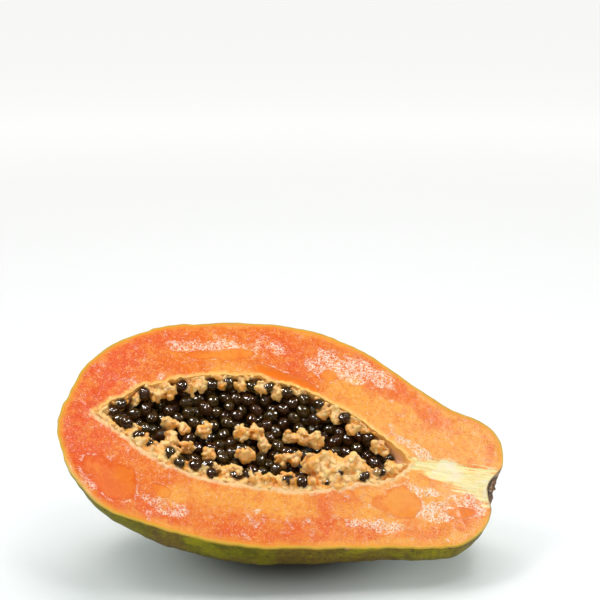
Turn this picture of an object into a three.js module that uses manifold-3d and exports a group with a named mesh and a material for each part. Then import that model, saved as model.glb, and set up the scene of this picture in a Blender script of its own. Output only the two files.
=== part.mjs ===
// Half of a ripe papaya, cut lengthwise and lying on its skin, in millimetres with +Z up.
// The fruit is modelled in the frame of its cut: u runs from the blossom end to the stem end,
// v runs across the cut towards its raised edge, and w points out of the cut face.
// Two nested groups then lean that frame to the way the half lies on a table, and the origin
// is under the middle of the half, on the table's top.
import * as THREE from "three";
import { mergeVertices } from "three/addons/utils/BufferGeometryUtils.js";
import Module from "manifold-3d";

const wasm = await Module();
wasm.setup();

// How the half lies
const TILT = THREE.MathUtils.degToRad(36); // the cut face leans towards -Y
const ROLL = THREE.MathUtils.degToRad(9); // the stem end lies lower than the blossom end
const FACE_HEIGHT = 59.5; // height of the cut frame's origin over the table
const TABLE_SIZE = 400;

// The cut's outline: raised edge and near edge at matching stations, blossom tip to stem scar
const RIM = [
  [-103.6, -9, -103.6, -9],
  [-102.8, 0, -102.4, -18],
  [-101.5, 12, -98.5, -27],
  [-96.5, 27, -91, -38],
  [-86, 41, -80, -48.5],
  [-70, 52, -65, -54.5],
  [-50, 59.5, -45, -58],
  [-28, 65, -25, -60],
  [-5, 67, -5, -60],
  [18, 64.5, 18, -56.5],
  [40, 55.5, 40, -52.7],
  [60, 42.5, 60, -49],
  [78, 32, 76, -46.5],
  [92, 27.5, 87, -43],
  [100.5, 22, 94.5, -35],
  [104.8, 12.5, 98.5, -27],
  [104.6, 1.4, 99.4, -22],
  [100, -5.2, 98, -16.5],
  [97.6, -11, 97.6, -11],
];
// The seed cavity's outline in the cut, at stations from its blossom point to its stem point
const CAVITY_RIM = [
  [-88, -1, -88, -1],
  [-80, 8, -80, -6.5],
  [-70, 16, -70, -13.5],
  [-56, 23.5, -56, -21],
  [-40, 29.5, -40, -26.5],
  [-22, 33, -22, -28.5],
  [-4, 32, -4, -27.7],
  [12, 28, 12, -27],
  [26, 22, 26, -22.8],
  [40, 13.5, 40, -18],
  [50, 7, 50, -14],
  [57, 2, 57, -9],
  [60.5, -3.2, 60.5, -3.2],
];

// The fruit's cross-section
const BELLY_DEPTH = 1.02; // depth over half the width
const STEM_DEEPER = 0.16; // more of it at the stem end
const STEM_REACH = [46, 92]; // where along u that begins and is full
const TIP_SHALLOWER = 0.58; // less of it under the near edge at the blossom end
const TIP_REACH = [-102, -48]; // where along u that is full and ends
const TIP_SIDE = [1.5, 2.6]; // angles from the raised edge between which it sets in
const LOBES = 5;
const LOBE_RIDGE = THREE.MathUtils.degToRad(106); // a ridge's angle from the raised edge
const LOBE_HEIGHT = 0.03; // share of the radius
const LOBE_FADE = 0.45; // radians from either edge of the cut over which the lobes die out
const CAVITY_DEPTH = 0.92;
const CAVITY_HALF_WIDTH = 30.75; // where it is widest
const CAVITY_SHORTEN = 2; // an inset copy is this many times its inset shorter at each end

// The bed in the cavity that the seeds stand in
const BED_EDGE = 3.6; // its depth under the cut along the cavity's edges
const BED_BOWL = 6.5; // how much deeper it is in the middle
const BED_MIDDLE = [4, 26]; // where v is deepest, and how far to either side the bowl reaches
const BED_ENDS = [-84, -52, 30, 60]; // the bowl deepens and flattens out over these parts of u
const BED_SLAB = [95, 40, 20]; // half length, half width and top of the space over the bed

// Seeds, pulp and the dry scar of the fruit stalk
const GAP = 0.3; // clearance between pieces
const PULP_WALL = 2;
const PULP_SINK = 0.5; // the rim of the pulp's lining lies this far under the cut
const FILLING_RISE = 3; // seeds and pulp stand up to this far out of the cut
const SEED_RADIUS = 2.95;
const SEED_LENGTH = 1.12; // long axis over short axis
const SEED_TRIES = 40000;
const SEED_SPAN = [0.03, 0.97]; // shares of the cavity's length between which seeds lie
const SEED_RISE = 0.5; // a seed's middle stands this far over the bed, or more
const SEED_DRAW = 0.9; // how much more, at most
const SEED_LEAN = 1; // radians over which the seeds' long axes lean
const SEED_STEP = 1.5; // a seed with no room lies this much lower
const SEED_LEVELS = 3;
const SEED_SPACING = 0.85; // least distance over diameter
const LUMP_RADIUS = 3.6;
const LUMP_UNEVEN = [0.84, 1.06]; // a lump's corners stand between these shares of its radius
const ROW_SPAN = [0.15, 0.88]; // shares of the cavity's length between which the rows run
const ROW_SHIFT = [0.5, 1.4]; // how unevenly a row's lumps stand: along it in steps, across in mm
const LUMP_ROWS = [
  { side: "near", inward: 4.9, depth: 3, grow: 0, share: 0.94, count: 22 },
  { side: "near", inward: 8.8, depth: 4.6, grow: 0, share: 0.4, count: 18 },
  { side: "far", inward: 4.6, depth: 3.6, grow: -0.5, share: 0.6, count: 18 },
];
const CLUSTER = { u: 27, v: -10.5, long: 15, wide: 5, depth: 2.9, grow: 1, count: 16 };
const CRUMBS = [
  [-54, 3],
  [-47, 2.5],
  [-37, 2],
  [-19, 3.5],
  [-12.5, 5],
  [-8, -1],
  [4, 6],
  [10, 6.5],
  [16, 5],
  [-16, -10],
  [-51, -7],
  [-43, -9.5],
  [-33, -12],
  [1, -8],
  [7, -7.5],
]; // places of the loose crumbs of pulp among the seeds
const CRUMB_RISE = 3.2;
const LUMP_CLEAR = 0.84; // share of a lump's radius that a seed stays out of
const ROOT_SHARE = 0.6; // a crumb's root over its radius
const ROOT_LENGTH = 30; // long enough to reach the cavity's wall
const SCAR_FROM = 0.925; // share of the way to the stem scar's centre where the scar begins
const SCAR_SEAT = 0.4; // how far its underside stands off the skin
const SCAR_EDGE = 0.5; // its thickness at the edge
const SCAR_MIDDLE = 2.2; // the same in the middle
const SCAR_RAGGED = 0.7; // how far its face stands out unevenly

// First numbers of the random draws
const LUMP_DRAWS = 11;
const SEED_DRAWS = 29;
const SCAR_DRAWS = 5;
const PEBBLE_DRAWS = 100;

// Mesh fineness
const SKIN_ROWS = 46;
const SKIN_COLUMNS = 26;
const CAVITY_ROWS = 22;
const CAVITY_COLUMNS = 10;
const BED_ROWS = 24;
const BED_COLUMNS = 10;
const SCAR_ROWS = 5;
const SCAR_COLUMNS = 12;
const ROOT_SIDES = 5;
const SAME_CORNER = 1e-4; // corners closer than this are one

// Colours: flesh, pulp, seeds and the dry scar
const FLESH_COLOR = 0xf0803c;
const PULP_COLOR = 0xeccb86;
const SEED_COLOR = 0x2a2016;
const SCAR_COLOR = 0x6b5335;

// A small repeatable random source: one seed gives the same draws on every run
function randomSource(seed) {
  let state = seed >>> 0;
  return () => {
    state = (Math.imul(state, 1664525) + 1013904223) >>> 0;
    return state / 2 ** 32;
  };
}

function smooth(low, high, x) {
  const t = Math.min(1, Math.max(0, (x - low) / (high - low)));
  return t * t * (3 - 2 * t);
}

// The raised and near edges of an outline as smooth curves
function edgesOf(stations) {
  const curve = (i) =>
    new THREE.CatmullRomCurve3(
      stations.map((s) => new THREE.Vector3(s[i], s[i + 1], 0)),
      false,
      "centripetal",
    );
  return { far: curve(0), near: curve(2) };
}

// Depth over half-width at a place u along the fruit and an angle from the raised edge
function depthAt(u, angle) {
  const deeper = STEM_DEEPER * smooth(...STEM_REACH, u);
  const shallower = TIP_SHALLOWER * (1 - smooth(...TIP_REACH, u)) * smooth(...TIP_SIDE, angle);
  return BELLY_DEPTH + deeper - shallower;
}

// The lobed radius factor at an angle from the raised edge, round the underside
function lobeAt(angle) {
  const fade = smooth(0, LOBE_FADE, angle) * smooth(0, LOBE_FADE, Math.PI - angle);
  return 1 + LOBE_HEIGHT * fade * Math.cos(LOBES * (angle - LOBE_RIDGE));
}

// A point of the half-ring that hangs under the cut between two edge points
function ringPoint(far, near, angle, depth, factor) {
  const centre = far.clone().add(near).multiplyScalar(0.5);
  const half = far.clone().sub(near).multiplyScalar(factor / 2);
  const under = half.length() * depth * Math.sin(angle);
  return centre.addScaledVector(half, Math.cos(angle)).setZ(-under);
}

// Rows of half-ring points along an outline, closer together towards its ends
function ringGrid(stations, rows, columns, shape) {
  const { far, near } = edgesOf(stations);
  return Array.from({ length: rows + 1 }, (_, i) => {
    const s = (1 - Math.cos((Math.PI * i) / rows)) / 2;
    return Array.from({ length: columns + 1 }, (_, j) =>
      shape(far.getPoint(s), near.getPoint(s), (Math.PI * j) / columns, s),
    );
  });
}

function skinPoint(far, near, angle) {
  return ringPoint(far, near, angle, depthAt(far.x, angle), lobeAt(angle));
}

// The cavity's wall, drawn in by an inset for the solids that fit inside it: narrowed, and
// shortened at both ends
function cavityGrid(inset) {
  const narrowed = 1 - inset / CAVITY_HALF_WIDTH;
  return ringGrid(CAVITY_RIM, CAVITY_ROWS, CAVITY_COLUMNS, (far, near, angle, s) => {
    const point = ringPoint(far, near, angle, CAVITY_DEPTH, narrowed);
    point.x += CAVITY_SHORTEN * inset * (1 - 2 * s);
    return point;
  });
}

// The closed line round a grid's two long borders, in the plane of the cut
function borderOf(grid) {
  const far = grid.map((row) => row[0]);
  const near = grid.slice(1, -1).map((row) => row[row.length - 1]);
  return far.concat(near.reverse());
}

function gridTriangles(grid, flip) {
  const triangles = [];
  for (let i = 0; i + 1 < grid.length; i++)
    for (let j = 0; j + 1 < grid[i].length; j++) {
      const [a, b, c, d] = [grid[i][j], grid[i + 1][j], grid[i + 1][j + 1], grid[i][j + 1]];
      triangles.push(flip ? [a, c, b] : [a, b, c], flip ? [a, d, c] : [a, c, d]);
    }
  return triangles;
}

// The flat region inside one closed line of the cut and outside the others, facing out of it
function faceTriangles(outer, holes) {
  const flat = (line) => line.map((p) => new THREE.Vector2(p.x, p.y));
  const points = [outer, ...holes].flat();
  const made = THREE.ShapeUtils.triangulateShape(flat(outer), holes.map(flat));
  return made.map((corners) => {
    const [a, b, c] = corners.map((i) => points[i]);
    const up = (b.x - a.x) * (c.y - a.y) - (c.x - a.x) * (b.y - a.y);
    return up > 0 ? [a, b, c] : [a, c, b];
  });
}

// A closed geometry as a solid, with its shared corners merged and slivers dropped
function solidOf(geometry) {
  const bare = new THREE.BufferGeometry();
  bare.setAttribute("position", geometry.attributes.position.clone());
  if (geometry.index) bare.setIndex(geometry.index.clone());
  const merged = mergeVertices(bare, SAME_CORNER);
  const corners = Array.from(merged.index.array);
  const kept = [];
  for (let i = 0; i < corners.length; i += 3) {
    const [a, b, c] = corners.slice(i, i + 3);
    if (a !== b && b !== c && a !== c) kept.push(a, b, c);
  }
  return new wasm.Manifold(
    new wasm.Mesh({
      numProp: 3,
      vertProperties: Float32Array.from(merged.attributes.position.array),
      triVerts: Uint32Array.from(kept),
    }),
  );
}

function solidOfTriangles(triangles) {
  return solidOf(new THREE.BufferGeometry().setFromPoints(triangles.flat()));
}

function joined(solids) {
  return solids.reduce((all, next) => all.add(next));
}

// The largest separate body of a solid: it leaves out loose scraps
function mainBody(solid) {
  return solid.decompose().reduce((a, b) => (b.volume() > a.volume() ? b : a));
}

function geometryOf(solid) {
  const mesh = solid.getMesh();
  const geometry = new THREE.BufferGeometry();
  geometry.setAttribute("position", new THREE.BufferAttribute(mesh.vertProperties, mesh.numProp));
  geometry.setIndex(Array.from(mesh.triVerts));
  const faceted = geometry.toNonIndexed();
  faceted.computeVertexNormals();
  return faceted;
}

// Everything under the table's top, in the cut's frame: it takes off the resting flat
function tableBlock() {
  const block = new THREE.BoxGeometry(TABLE_SIZE, TABLE_SIZE, TABLE_SIZE);
  block.translate(0, 0, -FACE_HEIGHT - TABLE_SIZE / 2);
  block.rotateY(-ROLL);
  block.rotateX(-TILT);
  return solidOf(block);
}

// Skin and flesh in one: the fruit's outside, the cut face and the hollow that held the seeds
function fruitSolid() {
  const skin = ringGrid(RIM, SKIN_ROWS, SKIN_COLUMNS, skinPoint);
  const cavity = cavityGrid(0);
  const whole = solidOfTriangles([
    ...gridTriangles(skin, false),
    ...gridTriangles(cavity, true),
    ...faceTriangles(borderOf(skin), [borderOf(cavity)]),
  ]);
  return whole.subtract(tableBlock());
}

// A closed plug of the cavity, drawn in from its wall, whose top rises out of the cut
function cavityPlug(inset, rise) {
  const wall = cavityGrid(inset);
  const rim = borderOf(wall);
  const top = rim.map((p) => p.clone().setZ(rise));
  const collar = [rim, top].map((line) => [...line, line[0]]);
  return solidOfTriangles([
    ...gridTriangles(wall, false),
    ...(rise > 0 ? gridTriangles(collar, false) : []),
    ...faceTriangles(top, []),
  ]);
}

// The bed's height: shallow along the edges and at both ends, a bowl in the middle
function bedLevel(u, v) {
  const [start, deep, still, end] = BED_ENDS;
  const along = smooth(start, deep, u) * (1 - smooth(still, end, u));
  const across = (v - BED_MIDDLE[0]) / BED_MIDDLE[1];
  return -BED_EDGE - BED_BOWL * along * Math.max(0, 1 - across * across);
}

// The space over the bed, raised by some height: a slab with the bed as its underside
function overBed(raise) {
  const [halfLong, halfWide, top] = BED_SLAB;
  const grid = (heightAt) =>
    Array.from({ length: BED_ROWS + 1 }, (_, i) =>
      Array.from({ length: BED_COLUMNS + 1 }, (_, j) => {
        const u = halfLong * ((2 * i) / BED_ROWS - 1);
        const v = halfWide * ((2 * j) / BED_COLUMNS - 1);
        return new THREE.Vector3(u, v, heightAt(u, v));
      }),
    );
  const low = grid((u, v) => bedLevel(u, v) + raise);
  const high = grid(() => top);
  const fences = [
    [low[0], high[0]],
    [high[BED_ROWS], low[BED_ROWS]],
    [high, low].map((g) => g.map((row) => row[0])),
    [low, high].map((g) => g.map((row) => row[BED_COLUMNS])),
  ];
  return solidOfTriangles([
    ...gridTriangles(low, true),
    ...gridTriangles(high, false),
    ...fences.flatMap((fence) => gridTriangles(fence, false)),
  ]);
}

// Lumps of pulp: rows along both edges of the cavity, one big cluster, crumbs among the seeds
function placeLumps() {
  const random = randomSource(LUMP_DRAWS);
  const edges = edgesOf(CAVITY_RIM);
  const lumps = [];
  const [start, end] = ROW_SPAN;
  for (const { side, inward, depth, grow, share, count } of LUMP_ROWS)
    for (let k = 0; k < count; k++) {
      const [keep, shift, size] = [random(), random() - 0.5, random() - 0.5];
      if (keep > share) continue;
      const step = (k + 0.5 + ROW_SHIFT[0] * shift) / count;
      const edge = edges[side].getPoint(start + (end - start) * step);
      const v = edge.y + (side === "far" ? -1 : 1) * (inward + ROW_SHIFT[1] * shift);
      const radius = LUMP_RADIUS + grow + size;
      lumps.push({ u: edge.x, v, w: -depth + size, radius, rooted: false });
    }
  for (let k = 0; k < CLUSTER.count; k++) {
    const [turn, reach, size] = [random(), Math.sqrt(random()), random() - 0.5];
    const u = CLUSTER.u + CLUSTER.long * reach * Math.cos(2 * Math.PI * turn);
    const v = CLUSTER.v + CLUSTER.wide * reach * Math.sin(2 * Math.PI * turn);
    const radius = LUMP_RADIUS + CLUSTER.grow + size;
    lumps.push({ u, v, w: size - CLUSTER.depth, radius, rooted: false });
  }
  for (const [u, v] of CRUMBS) {
    const size = random() - 0.5;
    const w = bedLevel(u, v) + CRUMB_RISE + size;
    lumps.push({ u, v, w, radius: LUMP_RADIUS + size, rooted: true });
  }
  return lumps;
}

// Seeds dropped one by one over the bed: each lies clear of the pulp and of the seeds before it,
// lower down where there is no room on top, and is left out where there is none there either
function placeSeeds(lumps) {
  const random = randomSource(SEED_DRAWS);
  const { far, near } = edgesOf(CAVITY_RIM);
  const seeds = [];
  const spacing = 2 * SEED_RADIUS * SEED_SPACING;
  const margin = PULP_SINK + PULP_WALL + GAP + SEED_RADIUS;
  for (let k = 0; k < SEED_TRIES; k++) {
    const s = SEED_SPAN[0] + (SEED_SPAN[1] - SEED_SPAN[0]) * random();
    const [across, turn, lean] = [random(), random(), random() - 0.5];
    const rise = SEED_RISE + SEED_DRAW * random();
    const [high, low] = [far.getPoint(s), near.getPoint(s)];
    const [middle, half] = [(high.y + low.y) / 2, (high.y - low.y) / 2];
    const [u, v] = [high.x, middle + half * (2 * across - 1)];
    for (let level = 0; level < SEED_LEVELS; level++) {
      const w = bedLevel(u, v) + rise - level * SEED_STEP;
      const wall = half * Math.sqrt(Math.max(0, 1 - (w / (CAVITY_DEPTH * half)) ** 2));
      if (Math.abs(v - middle) > wall - margin) break;
      const onPulp = lumps.some((l) => {
        const over = l.rooted ? Math.max(0, w - l.w) : w - l.w;
        return Math.hypot(u - l.u, v - l.v, over) < SEED_RADIUS + LUMP_CLEAR * l.radius;
      });
      const onSeed = seeds.some((o) => Math.hypot(u - o.u, v - o.v, w - o.w) < spacing);
      if (onPulp || onSeed) continue;
      seeds.push({ u, v, w, turn, lean });
      break;
    }
  }
  return seeds;
}

// One seed as an oval ball of few faces
function seedSolid({ u, v, w, turn, lean }) {
  const ball = new THREE.OctahedronGeometry(SEED_RADIUS, 1);
  ball.scale(SEED_LENGTH, 1, 1);
  ball.rotateY(SEED_LEAN * lean);
  ball.rotateZ(Math.PI * turn);
  ball.translate(u, v, w);
  return solidOf(ball);
}

// One lump of pulp as an uneven pebble of few faces
function lumpSolid({ u, v, w, radius }, index) {
  const random = randomSource(PEBBLE_DRAWS + index);
  const [low, high] = LUMP_UNEVEN;
  const ball = mergeVertices(
    new THREE.IcosahedronGeometry(radius, 0).deleteAttribute("normal").deleteAttribute("uv"),
  );
  const place = ball.attributes.position;
  const corner = new THREE.Vector3();
  for (let i = 0; i < place.count; i++) {
    corner.fromBufferAttribute(place, i).multiplyScalar(high - (high - low) * random());
    place.setXYZ(i, ...corner);
  }
  ball.rotateZ(Math.PI * random());
  ball.translate(u, v, w);
  return solidOf(ball);
}

// The root by which a crumb of pulp grows from the cavity's wall
function rootSolid({ u, v, w, radius }, grow) {
  const thick = radius * ROOT_SHARE + grow;
  const root = new THREE.CylinderGeometry(thick, thick, ROOT_LENGTH, ROOT_SIDES);
  root.rotateX(Math.PI / 2);
  root.translate(u, v, w - ROOT_LENGTH / 2);
  return solidOf(root);
}

// Pulp and seeds together, because each is shaped to leave room for the other
function cavityFilling() {
  const lumps = placeLumps();
  const rooted = lumps.filter((l) => l.rooted);
  const drawn = GAP + PULP_SINK + PULP_WALL;
  const sunk = cavityPlug(GAP + PULP_SINK, 0).translate(0, 0, -PULP_SINK);
  const hollow = cavityPlug(drawn, FILLING_RISE);
  const room = cavityPlug(drawn + GAP, FILLING_RISE);
  const roots = joined(rooted.map((l) => rootSolid(l, 0))).intersect(sunk);
  const sleeves = joined(rooted.map((l) => rootSolid(l, GAP)));
  const clear = overBed(GAP).intersect(cavityPlug(GAP, FILLING_RISE));
  const balls = joined(lumps.map(lumpSolid)).intersect(clear);
  const bed = room.subtract(overBed(0)).subtract(sleeves);
  const balled = joined(placeSeeds(lumps).map(seedSolid)).intersect(room);
  return {
    pulp: mainBody(sunk.subtract(hollow).add(balls).add(roots)),
    seeds: mainBody(bed.add(balled)),
  };
}

// The dry, ragged scar of the fruit stalk: a crust on the hollow at the stem end
function scarSolid() {
  const { far, near } = edgesOf(RIM);
  const random = randomSource(SCAR_DRAWS);
  const layer = (heightAt) =>
    Array.from({ length: SCAR_ROWS + 1 }, (_, i) => {
      const s = SCAR_FROM + ((1 - SCAR_FROM) * i) / SCAR_ROWS;
      return Array.from({ length: SCAR_COLUMNS + 1 }, (_, j) => {
        const angle = (Math.PI * j) / SCAR_COLUMNS;
        const point = skinPoint(far.getPoint(s), near.getPoint(s), angle);
        point.x += SCAR_SEAT + heightAt(i / SCAR_ROWS);
        return point;
      });
    });
  const inner = layer(() => 0);
  const outer = layer((share) => {
    const ragged = share < 1 ? SCAR_RAGGED * random() : 0;
    return SCAR_EDGE + (SCAR_MIDDLE - SCAR_EDGE) * share + ragged;
  });
  const fences = [
    [outer[0], inner[0]],
    [inner, outer].map((g) => g.map((row) => row[0])),
    [outer, inner].map((g) => g.map((row) => row[SCAR_COLUMNS])),
  ];
  return solidOfTriangles([
    ...gridTriangles(inner, true),
    ...gridTriangles(outer, false),
    ...fences.flatMap((fence) => gridTriangles(fence, true)),
  ]);
}

function meshOf(name, solid, color, roughness) {
  const material = new THREE.MeshStandardMaterial({ color, roughness, metalness: 0 });
  const mesh = new THREE.Mesh(geometryOf(solid), material);
  mesh.name = name;
  return mesh;
}

const { pulp, seeds } = cavityFilling();
const cutFrame = new THREE.Group();
cutFrame.rotation.x = TILT;
cutFrame.add(
  meshOf("flesh_and_skin", fruitSolid(), FLESH_COLOR, 0.45),
  meshOf("pulp", pulp, PULP_COLOR, 0.5),
  meshOf("seeds", seeds, SEED_COLOR, 0.2),
  meshOf("stalk_scar", scarSolid(), SCAR_COLOR, 0.9),
);

const papayaHalf = new THREE.Group();
papayaHalf.add(cutFrame);
papayaHalf.rotation.y = ROLL;
papayaHalf.position.z = FACE_HEIGHT;
const middle = new THREE.Box3().setFromObject(papayaHalf, true).getCenter(new THREE.Vector3());
papayaHalf.position.x = -middle.x;
papayaHalf.position.y = -middle.y;

export default papayaHalf;
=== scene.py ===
import math

import bpy
import numpy as np
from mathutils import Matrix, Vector
from mathutils.kdtree import KDTree


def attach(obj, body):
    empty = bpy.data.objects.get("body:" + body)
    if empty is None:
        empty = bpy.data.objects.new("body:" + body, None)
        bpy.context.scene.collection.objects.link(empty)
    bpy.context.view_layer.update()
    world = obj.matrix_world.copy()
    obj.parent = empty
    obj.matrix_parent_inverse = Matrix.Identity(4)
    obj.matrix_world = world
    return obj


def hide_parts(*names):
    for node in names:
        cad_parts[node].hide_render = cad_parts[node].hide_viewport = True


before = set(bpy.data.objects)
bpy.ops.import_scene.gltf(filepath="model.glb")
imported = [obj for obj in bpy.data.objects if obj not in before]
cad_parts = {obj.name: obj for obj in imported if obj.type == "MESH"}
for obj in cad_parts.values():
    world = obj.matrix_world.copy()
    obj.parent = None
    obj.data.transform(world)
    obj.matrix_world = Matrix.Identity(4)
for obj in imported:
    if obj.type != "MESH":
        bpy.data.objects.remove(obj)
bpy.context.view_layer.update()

bl_info = {
    "name": "Halved papaya",
    "version": (1, 0, 0),
    "blender": (4, 5, 0),
    "location": "3D View > Sidebar > Papaya",
    "description": "Dresses the frame of a papaya half with flesh, skin, pulp, seeds and a stalk scar",
    "category": "Object",
}

MM = 0.001

# How the half lies: the cut's own frame has u towards the stem, v towards the raised edge and
# w out of the cut, in millimetres
TILT = math.radians(36)
ROLL = math.radians(9)
PLACE = (-0.685, -9.933, 59.5)

# The cut's outline and the cavity's: raised edge and near edge at matching stations
RIM = [
    (-103.6, -9, -103.6, -9), (-102.8, 0, -102.4, -18), (-101.5, 12, -98.5, -27),
    (-96.5, 27, -91, -38), (-86, 41, -80, -48.5), (-70, 52, -65, -54.5), (-50, 59.5, -45, -58),
    (-28, 65, -25, -60), (-5, 67, -5, -60), (18, 64.5, 18, -56.5), (40, 55.5, 40, -52.7),
    (60, 42.5, 60, -49), (78, 32, 76, -46.5), (92, 27.5, 87, -43), (100.5, 22, 94.5, -35),
    (104.8, 12.5, 98.5, -27), (104.6, 1.4, 99.4, -22), (100, -5.2, 98, -16.5),
    (97.6, -11, 97.6, -11),
]
CAVITY_RIM = [
    (-88, -1, -88, -1), (-80, 8, -80, -6.5), (-70, 16, -70, -13.5), (-56, 23.5, -56, -21),
    (-40, 29.5, -40, -26.5), (-22, 33, -22, -28.5), (-4, 32, -4, -27.7), (12, 28, 12, -27),
    (26, 22, 26, -22.8), (40, 13.5, 40, -18), (50, 7, 50, -14), (57, 2, 57, -9),
    (60.5, -3.2, 60.5, -3.2),
]

# The fruit's cross-section, as in the part's source
BELLY_DEPTH = 1.02
STEM_DEEPER, STEM_REACH = 0.16, (46, 92)
TIP_SHALLOWER, TIP_REACH, TIP_SIDE = 0.58, (-102, -48), (1.5, 2.6)
LOBES, LOBE_RIDGE, LOBE_HEIGHT, LOBE_FADE = 5, math.radians(106), 0.03, 0.45
CAVITY_DEPTH = 0.92
BED_EDGE, BED_BOWL, BED_MIDDLE, BED_ENDS = 3.6, 6.5, (4, 26), (-84, -52, 30, 60)

# Seeds and lumps of pulp, as in the part's source
GAP, PULP_WALL, PULP_SINK = 0.3, 2, 0.5
SEED_TRIES, SEED_SPAN = 40000, (0.03, 0.97)
SEED_RISE, SEED_DRAW, SEED_STEP, SEED_LEVELS, SEED_SPACING = 0.5, 0.9, 1.5, 3, 0.85
LUMP_RADIUS, LUMP_CLEAR = 3.6, 0.84
ROW_SPAN, ROW_SHIFT = (0.15, 0.88), (0.5, 1.4)
LUMP_ROWS = [
    ("near", 4.9, 3, 0, 0.94, 22),
    ("near", 8.8, 4.6, 0, 0.4, 18),
    ("far", 4.6, 3.6, -0.5, 0.6, 18),
]
CLUSTER = (27, -10.5, 15, 5, 2.9, 1, 16)
CRUMBS = [(-54, 3), (-47, 2.5), (-37, 2), (-19, 3.5), (-12.5, 5), (-8, -1), (4, 6), (10, 6.5),
          (16, 5), (-16, -10), (-51, -7), (-43, -9.5), (-33, -12), (1, -8), (7, -7.5)]
CRUMB_RISE = 3.2
LUMP_DRAWS, SEED_DRAWS = 11, 29
SCAR_FROM = 0.925
# Crumbs that line the cavity: inset, level, size, spacing, share kept near and far, in mm
LINING_ROWS = [
    (0.7, -1.0, 1.3, 1.5, 0.95, 0.55),
    (1.6, -2.2, 1.7, 1.7, 1.0, 0.3),
    (2.6, -3.6, 2.0, 2.2, 0.9, 0.25),
    (3.2, -5.8, 2.2, 3.2, 0.7, 0.2),
]

# Smooth wet hollows in the cut: place, half-lengths, turn in degrees, depth
WET_SPOTS = [
    (17.8, 40.8, 5.0, 3.8, 0, 0.1),
    (55.5, -25.5, 11.0, 8.4, 12, 0.15),
    (-74, -35, 14.0, 9.0, -30, 0.25),
    (-52, -37, 5.5, 3.4, -30, 0.1),
    (0, 34.5, 17, 4.2, -16, 0.7),
    (-33, 44, 16, 3.6, 14, 0.2),
    (84, -26, 8, 3.0, 10, 0.2),
]
GROOVE = WET_SPOTS[4]
# Patches of pale glints on the wet cut: place, half-lengths, turn in degrees, strength
GLINT_PATCHES = [
    (27, 47, 16, 9, -25, 1.0), (42, 46, 12, 7, -30, 0.8), (10, 47, 9, 7, 0, 0.8),
    (72, -27, 12, 7, 10, 1.0), (86, -18, 9, 6, 0, 0.9), (66, -17, 10, 4, -5, 0.8),
    (-48, -45, 14, 5, -12, 0.6), (-84, -38, 6, 12, -40, 0.7), (-20, 52, 24, 8, 5, 0.35),
    (48, -39, 16, 5, 3, 0.6), (64, 5, 9, 4, -30, 0.9), (95, -2, 5, 7, 0, 0.6),
    (-70, 22, 14, 8, 40, 0.35), (5, -45, 30, 6, 0, 0.3), (-42, 48, 22, 5, 14, 0.8),
    (60, 8, 12, 3, -28, 1.0), (92, -22, 6, 5, 0, 0.8),
]
# The pale strip of core: its middle line from the cavity's tip to the stalk, and half widths
CORE_LINE = [(58, -3.2, 3.4), (65, -3.4, 5.0), (80, -6.2, 7.4), (90, -8.6, 10), (97.8, -11, 12.5)]
# An oval patch of fine ripples that the knife left: place, half-lengths, turn in degrees
CHATTER = (72, -31, 26, 9, 8)
# Where the cavity's wall and its lining turn bare towards the stem: from and to
BARE_WALL, BARE_LINING = (46, 53), (44, 50)

# Relief as layers of height and size of feature in mm, each with its own seed
RIM_RELIEF = ((0.25, 9, 3), (0.12, 3, 4))
MOUTH_RELIEF = ((0.45, 7, 5), (0.3, 2.5, 6))
FACE_RELIEF = ((0.22, 24, 21), (0.1, 8, 22), (0.05, 2.6, 23))
SKIN_RELIEF = ((0.12, 16, 41), (0.02, 5, 42))
PATCH_RELIEF = ((0.3, 7, 91), (0.08, 2.6, 92))
FIBRE_RELIEF, FIBRE_DRAWN, FIBRE_SUNK = ((0.12, 1.6, 24),), 0.12, 0.2
TORN_RELIEF, TORN_RISE, TORN_BAND = ((0.3, 2.2, 25),), 0.15, (3.4, 0.4)
CHATTER_RELIEF, CHATTER_DRAWN = ((0.07, 1.6, 26),), 0.3
# The small step in the raised edge and the nub at the blossom end: how far out they stand
STEP_OUT, NUB_OUT = 0.8, 0.9
# How far the cut's edge is drawn in, and the gap between flesh and skin, in mm
RIM_INSET, SKIN_GAP = 0.45, 0.05
# Where the stalk stood
STALK_END = (102, -11, 0)

# How finely the lines and surfaces are divided
LINE_STEPS, FACE_ROWS = 440, 86
FLESH_COLUMNS, WALL_COLUMNS, SKIN_COLUMNS, INSIDE_COLUMNS = 20, 26, 110, 40
SCAR_ROWS, SCAR_COLUMNS = 34, 60

# Small balls round each lump of pulp: how far out and how big they are, as shares of its radius
LUMP_CORE, LUMP_BALLS = 0.92, 6
LUMP_RINGS = ((0.55, 0.85, 0.45, 0.65), (0.8, 1.05, 0.28, 0.42))
# The pulp's cells: their size, how far they rise, and the creases between them, in mm
PULP_CELL, CELL_RISE, CREASE_WIDTH, CREASE_DEPTH = 3.3, 1.0, 0.6, 0.5
# Extra seeds on the cavity's walls: tries, least distance in seed radii, span of the cavity,
# the raised side's share and the part kept on the near side
WALL_TRIES, WALL_SPACING, WALL_SPAN, FAR_SHARE, NEAR_KEPT = 4000, 1.62, (0.06, 0.84), 0.9, 0.08
# Their depths under the cut and distances from the wall on each side, in mm
FAR_DEPTH, FAR_OFF = (1.5, 14), (2.6, 3.4)
NEAR_DEPTH, NEAR_OFF = (0.6, 2.2), (3.5, 8.5)
# Extra seeds under the bed: tries, least distance, span and how far under the bed's top, in mm
BURIED_TRIES, BURIED_SPACING = 9000, 1.75
BURIED_SPAN, BURIED_DROP = (0.06, 0.94), (2.5, 8.5)
SEED_WRINKLE, GEL_WRINKLE = 0.03, 0.02

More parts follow.
